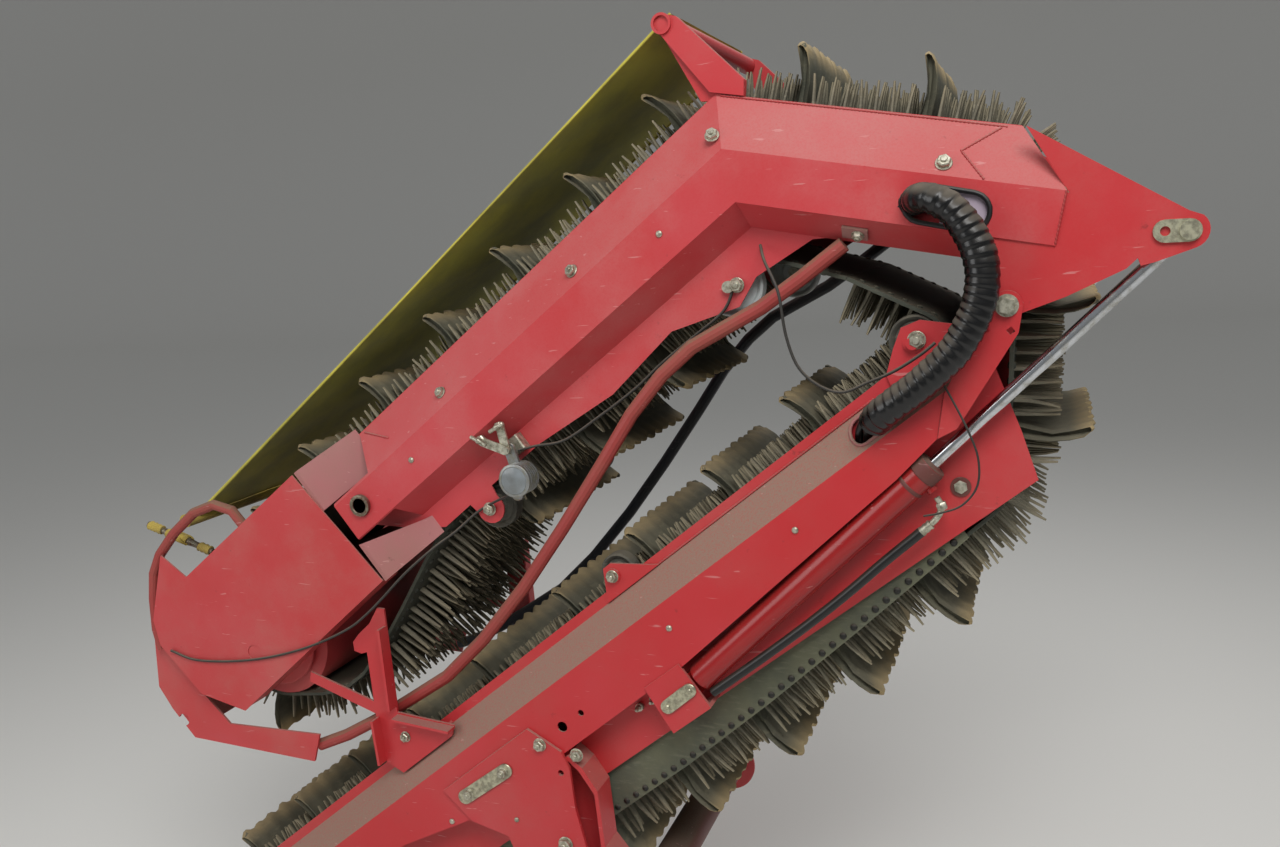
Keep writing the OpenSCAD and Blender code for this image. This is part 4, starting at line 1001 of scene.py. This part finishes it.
def roundedRoute(points):
    # The same rounding as the solid's: each corner gives way to a short curve
    points = [Vector(p) for p in points]
    path = [points[0]]
    for a, b, c in zip(points, points[1:], points[2:]):
        first, last = (a + b) / 2, (b + c) / 2
        for k in range(9):
            t = k / 8
            path.append(first * (1 - t) ** 2 + b * (2 * t * (1 - t)) + last * t * t)
    path.append(points[-1])
    return path


bundlePath = [at(foldPlace(p.x, p.z), p.y) for p in roundedRoute(bundle["route"])]
bundlePath = evenPath(bundlePath, 0.0026)
bundleLength = pathLength(bundlePath)
turnsInBundle = bundleLength * 1000 / bundle["turn"]


def bundleRadius(share, angle):
    # Overlapping turns of the sleeve: each rises slowly and drops at its edge
    turn = (share * turnsInBundle + angle / (2 * math.pi)) % 1.0
    rise = turn / 0.82 if turn < 0.82 else (1 - turn) / 0.18
    wobble = 0.6 * math.sin(share * 61) + 0.5 * math.sin(angle * 3 + share * 40)
    grown = min(share / 0.3, 1.0)
    diameter = bundle["atWindow"] + (bundle["diameter"] - bundle["atWindow"]) * grown
    return (diameter / 2 - bundle["ridge"] * (1 - rise ** 0.7) + wobble * 0.5) / 1000


verts, faces = tubeAlong(bundlePath, bundleRadius, 40)
bundlePiece = makePiece("hoseBundle", verts, faces, None, bundleSleeve, 60)
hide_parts("hose_bundle")
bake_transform(bundlePiece)
tuple(bundlePath[-1])
[tuple(p) for p in reversed(bundlePath[::8] + [bundlePath[-1]])]


def plainTube(name, body, path, diameter, material, sides):
    verts, faces = tubeAlong(path, lambda share, angle: diameter / 2000, sides)
    piece = makePiece(name, verts, faces, body, material, 60)
    return piece


# Hose of the near cylinder, with its crimped ferrule and the steel elbow at the port.
# The elbow is a 12.4 mm tube over the path's first points, with a hex nut and the ferrule on it
cylinderHose = {
    "diameter": 20, "steelPoints": 14, "steelRadius": 0.0062,
    "nut": (2, 6, [(9, 0), (10.5, 2), (10.5, 12), (9, 14)]),
    "ferrule": (10, 16, [(9.5, 0), (10, 2), (8.5, 7), (10, 12), (8.5, 17), (10, 22), (9.6, 26)]),
    "route": [(-318, -206, -360), (-322, -226, -360), (-345, -238, -361), (-384, -242, -362),
              (-471, -248, -364), (-579, -258, -366), (-683, -264, -368), (-792, -267, -368),
              (-900, -268, -368), (-940, -268, -368)]}
hosePath = evenPath(smoothPath([at(armPlace(u, v), y) for u, v, y in cylinderHose["route"]], 8), 0.006)
elbow = Parts()
steelPath = hosePath[:cylinderHose["steelPoints"]]
elbow.add(*tubeAlong(steelPath, lambda share, angle: cylinderHose["steelRadius"], 12))
for index, sides, profile in (cylinderHose["nut"], cylinderHose["ferrule"]):
    elbow.add(*turned(profile, hosePath[index], hosePath[index + 1] - hosePath[index], sides))
elbowPiece = partsPiece("portElbow", elbow, "barrel_near", zinc, 40, ["cylinder_hose"])
rubberPath = hosePath[cylinderHose["steelPoints"]:]
rubberPiece = plainTube("cylinderHose", "barrel_near", rubberPath, cylinderHose["diameter"], hoseRubber, 16)
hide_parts("cylinder_hose")
tuple(rubberPath[-1])
pathLength(rubberPath)
[tuple(p) for p in reversed(rubberPath)]
print("hoses made")

# Canvas strip stretched from the bend to the head, with a bright corded hem along its edges
canvas = {"width": 540, "hemAt": 268, "step": 24, "across": 24,
          "route": [(-20, 195), (240, 188), (560, 180), (860, 172), (1160, 166), (1460, 160), (1698, 156)]}
canvasPath = evenPath([Vector((x, 0, y)) for x, y in canvas["route"]], canvas["step"])
sheetVerts = []
sheetFaces = []
across = canvas["across"]
for i, p in enumerate(canvasPath):
    for k in range(across + 1):
        share = k / across
        y = -canvas["width"] / 2 + canvas["width"] * share
        ripple = 1.6 * math.sin(i * 0.31 + share * 4) + 1.1 * math.sin(i * 0.83 + share * 9)
        sheetVerts.append(at(legPlace(p.x, p.z + ripple), y))
for i in range(len(canvasPath) - 1):
    for k in range(across):
        a = i * (across + 1) + k
        sheetFaces.append((a, a + 1, a + across + 2, a + across + 1))
canvasPiece = makePiece("canvasStrip", sheetVerts, sheetFaces, "neck", canvasMaterial, 80)
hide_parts("canvas")
hems = Parts()
for side in (-1, 1):
    edge = [at(legPlace(p.x, p.z), side * canvas["hemAt"]) for p in canvasPath]
    hems.add(*tubeAlong(edge, lambda share, angle: 0.0035 + 0.0008 * math.sin(share * 900), 8))
hemPiece = partsPiece("canvasHem", hems, "neck", hemMaterial, 60)
print("canvas made")

# Window in the neck: rubber edging round it, a pale sheet inside it that is dust and a painted reflection,
# and the hose's root
boxFace = elevator["boxOut"]


def ringPath(points):
    # A closed line, repeated at its start so that a tube along it meets itself
    return points + [points[0], points[1]]


windowLine = [at(neckPlace(x, z), -boxFace - 0.5) for x, z in stadium((-175, 153), (-91, 150), 66)]
verts, faces = tubeAlong(evenPath(ringPath(windowLine), 0.005), lambda share, angle: 0.0048, 10, False)
edging = makePiece("windowEdging", verts, faces, "neck", edgeRubber, 60)
# Pale sheet close behind the window: dust and a painted reflection
dustAndReflectionSheet = Parts()
dustAndReflectionSheetOutline = [neckPlace(x, z) for x, z in [(-140, 192), (-44, 192), (-44, 112), (-140, 112)]]
dustAndReflectionSheet.add(*plateSolid(dustAndReflectionSheetOutline, -384, -382))
partsPiece("windowDustAndReflectionSheet", dustAndReflectionSheet, "neck", windowDustAndReflectionPaint)
rootRoute = [(-153, -398, 190), (-160, -380, 188), (-176, -366, 184), (-200, -358, 178)]
rootPath = smoothPath([at(foldPlace(x, z), y) for x, y, z in rootRoute], 6)
verts, faces = tubeAlong(rootPath, lambda share, angle: 0.0255 - 0.002 * abs(math.sin(share * 22)), 24)
rootPiece = makePiece("bundleRoot", verts, faces, "neck", bundleSleeve, 60)


def shoulderPoint(u, v, lift):
    # On the arm's sloping shoulder, lifted off it along its normal
    depth = elevator["webOut"] + (8 - v) / 63 * 68
    return at(armPlace(u, v + lift * 0.734), -depth - lift * 0.68)


slotLine = [shoulderPoint(u, v, 1.0) for u, v in stadium((-352, -24), (-270, -24), 46)]
verts, faces = tubeAlong(evenPath(ringPath(slotLine), 0.005), lambda share, angle: 0.0034, 10, False)
slotRim = makePiece("slotRim", verts, faces, "main_arm", jointPaint, 60)
slotHose = {"radius": 0.0088, "ends": [(-292, -14, 12), (-302, -32, 12), (-322, -12, 9), (-330, -30, 7),
                                       (-344, -20, 3)]}
splay = Parts()
for k, (u, v, out) in enumerate(slotHose["ends"]):
    line = smoothPath([shoulderPoint(-300 - 3 * k, -20, 26), shoulderPoint(u - 4, v, out),
                       shoulderPoint(u - 16, v - 1, -8), shoulderPoint(u - 30, v - 2, -26)], 6)
    splay.add(*tubeAlong(line, lambda share, angle: slotHose["radius"], 14))
partsPiece("slotHoses", splay, "main_arm", hoseRubber, 60)
print("window and slot trimmed")

# Weld beads, a line of small overlapping ripples under the paint
weldLines = {
    "neckWelds": ("neck", [
        [at(neckPlace(x, z), -slopeDepth(306 - z, 0.6)) for x, z in [(-70, 299), (-128, 251), (-79, 207)]],
        [at(neckPlace(57, z), -boxFace + 0.4) for z in (205, 190, 150, 114)],
        [at(legPlace(x, y), -slopeDepth(-y)) for x, y in [(1099, -7), (1030, -65)]],
        [at(neckPlace(x, z), -elevator["webOut"] - 3) for x, z in [(-60, 302), (-300, 304), (-590, 304)]],
    ]),
    "armWelds": ("main_arm", [
        [at(armPlace(u, v), -elevator["webOut"] - 2) for u, v in [(-300, 9.5), (-700, 9.5), (-1000, 9.5)]],
        [at(armPlace(u, v), -boxFace - 0.6) for u, v in [(-180, -58), (-240, -116)]],
        [at(armPlace(u, v), -boxFace - 0.8) for u, v in [(-1640, -102), (-1500, -101), (-1350, -101)]],
    ]),
}
for name, (body, lines) in weldLines.items():
    bead = Parts()
    for line in lines:
        path = evenPath(line, 0.0022)
        count = len(path)
        bead.add(*tubeAlong(path, lambda share, angle: 0.0019 + 0.0007 * math.sin(share * count * 1.9), 8))
    partsPiece(name, bead, body, beadPaint, 60)

# Work lamp: a finned cast housing on a strap, clamped by two T-handled bolts
lamp = {"pivot": (802, -262), "body": (824, -326), "gland": (846, -352), "lugEnd": (818, -305), "fins": 5,
        "finPitch": 8, "glandShape": [(13, 0), (13, 9), (10, 12), (0.01, 12)],
        "lens": [(0.01, 0), (20, 0.6), (29.6, 3), (29.6, 5), (0.01, 5)],
        "handle": [(3.2, -22), (5, -20), (4.2, -8), (7, 0), (4.2, 8), (5, 20), (3.2, 22)]}
outwards = (0, -1, 0)


def legOutline(points):
    return [legPlace(x, y) for x, y in points]


housing = Parts()
housingProfile = [(0.01, 2), (22, 2), (30, 6), (35, 10)]
for k in range(lamp["fins"]):
    start = k * lamp["finPitch"]
    housingProfile += [(36, 12 + start), (36, 15 + start), (31.5, 16 + start), (31.5, 19 + start)]
housingProfile += [(36, 54), (36.5, 60), (33, 62), (30, 62), (30, 58), (0.01, 58)]
housing.add(*turned(housingProfile, at(legPlace(*lamp["body"]), -334), outwards, 36))
housing.add(*turned(lamp["glandShape"], at(legPlace(*lamp["gland"]), -372), outwards, 18))
housing.add(*plateSolid(legOutline(stadium(lamp["pivot"], lamp["lugEnd"], 26, 10)), -368, -360, 1.5))
partsPiece("lampHousing", housing, "lamp", lampAlloy, 30, ["work_lamp"])
lens = Parts()
lens.add(*turned(lamp["lens"], at(legPlace(*lamp["body"]), -398.5), (0, 1, 0), 32))
partsPiece("lampLens", lens, "lamp", lampGlass, 30, ["work_lamp"])
clamp = Parts()
clamp.add(*plateSolid(legOutline([(778, -244), (826, -244), (826, -282), (778, -282)]), -352, -322, 3))
clamp.add(*turned([(7, 0), (7, 62)], at(legPlace(*lamp["pivot"]), -322), outwards, 16))
clamp.add(*plateSolid(legOutline(stadium((782, -214), (804, -262), 20, 8)), -378, -372, 1))
clamp.add(*plateSolid(legOutline(stadium((836, -214), (804, -262), 20, 8)), -384, -379, 1))
for x, y, turnBy in ((782, -214, 0.5), (836, -210, -0.4)):
    foot = at(legPlace(x, y), -368)
    clamp.add(*turned([(5, -6), (5, 24)], foot, outwards, 14))
    clamp.add(*turned([(11, 8), (11, 15), (8, 17)], foot, outwards, 6, 0.3))
    bar = Vector((math.cos(turnBy), -0.15, math.sin(turnBy))).normalized()
    clamp.add(*turned(lamp["handle"], foot + Vector((0, -0.024, 0)), bar, 12))
partsPiece("lampClamp", clamp, "neck", zinc, 30, ["lamp_clamp"])
print("lamp made")

# Small fittings: grease nipples under the shoulder, rings in the tube's ends
nipple = {"places": [(-1127, -212), (-1088, -216)], "lean": (0.1, -1, 0.15),
          "profile": [(9, 0), (9, 12), (5, 13), (5, 19), (6.5, 20), (6.5, 24), (3, 27), (3, 31), (4.5, 33),
                      (3, 37), (0.01, 38)]}
fittings = Parts()
for u, v in nipple["places"]:
    fittings.add(*turned(nipple["profile"], at(armPlace(u, v), -323), nipple["lean"], 12))
partsPiece("greaseNipples", fittings, "main_arm", zinc, 30)
ring = {"place": (1180, -141), "depth": 397,
        "profile": [(17.2, 0), (24.8, 0), (24.8, 2.2), (23, 3), (18.5, 3), (17.2, 2), (17.2, 0)]}
rings = Parts()
for side in (-1, 1):
    rings.add(*turned(ring["profile"], at(legPlace(*ring["place"]), side * ring["depth"]), (0, side, 0), 32))
partsPiece("tubeEndRings", rings, "neck", rustySteel, 30)

# Gland nuts and their locking rings on the cylinders' barrels
cylinder = {"rodPin": (257, 166), "foot": (-982, -233), "depth": 360,
            "lockRing": [(30.2, 640), (31.2, 642), (31.2, 646), (30.2, 648)],
            "gland": [(30.2, 672), (31.6, 674), (31.6, 696), (29.5, 702), (20, 703), (15, 706), (13, 706)]}
rodPin = neckPlace(*cylinder["rodPin"])
cylinderFoot = armPlace(*cylinder["foot"])
cylinderAxis = Vector((rodPin[0] - cylinderFoot[0], 0, rodPin[1] - cylinderFoot[1])).normalized()
for side, end in ((-1, "near"), (1, "far")):
    gland = Parts()
    for profile in (cylinder["lockRing"], cylinder["gland"]):
        gland.add(*turned(profile, at(cylinderFoot, side * cylinder["depth"]), cylinderAxis, 40))
    partsPiece("glandNut_" + end, gland, "barrel_" + end, darkPaint, 30)

# Tab that holds the near guard tube under the neck, with its bolt
tab = {"place": (-289, 87), "depth": -352.5, "out": -0.552, "down": -0.834, "thick": 0.005, "halfLong": 24,
       "halfWide": 17}
tabNormal = Vector((0, tab["out"], 0)) + (at(neckPlace(0, tab["down"]), 0) - at(neckPlace(0, 0), 0)) * 1000
tabSide = (at(neckPlace(1, 0), 0) - at(neckPlace(0, 0), 0)).normalized()
tabRise = tabNormal.cross(tabSide).normalized()
tabFoot = at(neckPlace(*tab["place"]), tab["depth"]) + tabNormal.normalized() * 0.0005
tabTop = tabFoot + tabNormal.normalized() * tab["thick"]
tabCorners = [(tabSide * (a * tab["halfLong"]) + tabRise * (b * tab["halfWide"])) / 1000
              for a, b in ((-1, -1), (1, -1), (1, 1), (-1, 1))]
guardTab = Parts()
guardTab.add([tabFoot + corner for corner in tabCorners] + [tabTop + corner for corner in tabCorners],
             [(0, 1, 2, 3), (7, 6, 5, 4), (0, 4, 5, 1), (1, 5, 6, 2), (2, 6, 7, 3), (3, 7, 4, 0)])
partsPiece("guardTab", guardTab, "neck", jointPaint, 30)
tabBolt = Parts()
addBolt(tabBolt, tabTop + tabSide * 0.006, tabNormal, 12)
partsPiece("guardTabBolt", tabBolt, "neck", zinc, 30)

# Cleat at the canvas's lower end: a bar in worn yellow sleeves, tied to the roll with rope
cleat = {"line": [(1802, 211), (1743, 127), (1683, 42)], "depth": -318, "loops": 7, "loopFrom": 0.44,
         "loopStep": 0.022, "sleeves": [(0.02, 0.22), (0.3, 0.62), (0.8, 0.97)]}
cleatLine = [at(legPlace(x, y), cleat["depth"]) for x, y in cleat["line"]]


def wornBar(share, angle):
    return 0.009 + 0.0012 * math.sin(share * 23)


def wornSleeve(share, angle):
    return 0.0116 + 0.0012 * math.sin(share * 40 + angle)


cleatBar = Parts()
cleatBar.add(*tubeAlong(evenPath(cleatLine, 0.008), wornBar, 14))
partsPiece("cleatBar", cleatBar, "neck", rustySteel, 60)
sleeves = Parts()
for first, last in cleat["sleeves"]:
    ends = [cleatLine[0].lerp(cleatLine[2], share) for share in (first, last)]
    sleeves.add(*tubeAlong(evenPath(ends, 0.004), wornSleeve, 16))
for k in range(cleat["loops"]):
    centre = cleatLine[0].lerp(cleatLine[2], cleat["loopFrom"] + cleat["loopStep"] * k)
    loop = [centre + Vector((0.017 * math.cos(t) * 0.8, 0.019 * math.sin(t) + 0.003,
                             -0.017 * math.cos(t) * 0.6))
            for t in [2 * math.pi * j / 16 for j in range(18)]]
    sleeves.add(*tubeAlong(loop, lambda share, angle: 0.003, 8, False))
partsPiece("cleatSleeves", sleeves, "neck", ropeMaterial, 60)
print("fittings made")

# Cables: a lamp cable along the neck, one over the fold, a thin one to the cylinder's port,
# and one that sags along the head's cover
cables = [
    ("lampCable", "neck", 6, [at(legPlace(x, y), d) for x, y, d in [
        (196, -300, -326), (250, -330, -330), (330, -331, -328), (420, -330, -326), (500, -335, -328),
        (600, -331, -328), (700, -322, -332), (760, -292, -340), (792, -276, -356)]]),
    ("headCable", "neck", 6, [at(legPlace(x, y), d) for x, y, d in [
        (846, -352, -376), (880, -338, -360), (930, -326, -338), (985, -318, -330), (1045, -322, -350),
        (1100, -322, -380), (1190, -326, -397), (1331, -340, -399), (1428, -336, -399), (1570, -300, -399),
        (1716, -238, -399), (1849, -155, -399), (1905, -90, -399)]]),
    ("portCable", "main_arm", 4, [at(foldPlace(x, z), y) for x, y, z in [
        (-119, -404, -118), (-97, -409, -157), (-67, -412, -219), (-50, -412, -270), (-52, -410, -321),
        (-79, -404, -359), (-118, -396, -377), (-150, -380, -388)]]),
    ("foldCable", None, 6, [at(foldPlace(x, z), y) for x, y, z in [
        (-452, -332, 128), (-432, -384, 98), (-404, -404, 41), (-392, -406, -40), (-371, -406, -100),
        (-333, -405, -136), (-290, -404, -149), (-242, -404, -131), (-196, -404, -112), (-150, -402, -84),
        (-122, -398, -62)]]),
]
for name, body, thick, points in cables:
    path = evenPath(smoothPath(points, 8), 0.005)
    piece = plainTube(name, body, path, thick, cableSleeve, 10)
    if body is None:
        tuple(path[-1])
        tuple(path[0])
        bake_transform(piece)
    tuple(path[0])
    pathLength(path)
    [tuple(p) for p in path]
print("cables made")

# Floor and backdrop in one sweep, far enough off for a view from behind, and soft lights
studio = {"floor": "#e6e4df", "half": 40, "wall": 20, "bend": 8, "bendSteps": 24,
          "key": 165, "fill": 46, "back": 70, "world": 0.3, "sky": "#e8ebee"}
floorZ = min(cadBox[0][2], cadBox[1][2]) - 0.001
sweep = [(-studio["half"], 0.0)]
for k in range(studio["bendSteps"] + 1):
    angle = math.pi / 2 * k / studio["bendSteps"]
    sweep.append((studio["wall"] + studio["bend"] * math.sin(angle), studio["bend"] * (1 - math.cos(angle))))
sweep.append((studio["wall"] + studio["bend"], studio["half"]))
floorVerts = []
for y, z in sweep:
    floorVerts += [(-studio["half"], y, floorZ + z), (studio["half"], y, floorZ + z)]
floorFaces = [(2 * i, 2 * i + 1, 2 * i + 3, 2 * i + 2) for i in range(len(sweep) - 1)]
floorMaterial, _, floorShader = startMaterial("paleFloor", roughness=0.9)
floorShader.inputs["Base Color"].default_value = linear(studio["floor"])
floor = makePiece("floor", floorVerts, floorFaces, None, floorMaterial)


def addLamp(name, place, target, size, power):
    data = bpy.data.lights.new(name, "AREA")
    data.shape = "RECTANGLE"
    data.size, data.size_y = size
    data.energy = power
    lamp = bpy.data.objects.new(name, data)
    lamp.location = place
    lamp.rotation_euler = (Vector(target) - Vector(place)).to_track_quat("-Z", "Y").to_euler()
    bpy.context.collection.objects.link(lamp)


addLamp("keyLight", (1.6, -3.2, 4.4), (0.2, 0, 1.1), (2.6, 2.0), studio["key"])
addLamp("fillLight", (-3.0, -3.4, 2.2), (0, 0, 1.0), (2.4, 2.4), studio["fill"])
addLamp("backLight", (0.8, 2.6, 4.6), (0.1, 0, 1.2), (3.0, 1.5), studio["back"])
world = bpy.data.worlds.new("studio")
bpy.context.scene.world = world
world.use_nodes = True
world.node_tree.nodes["Background"].inputs["Color"].default_value = linear(studio["sky"])
world.node_tree.nodes["Background"].inputs["Strength"].default_value = studio["world"]
bpy.context.scene.view_settings.view_transform = "Standard"

print("scene done")
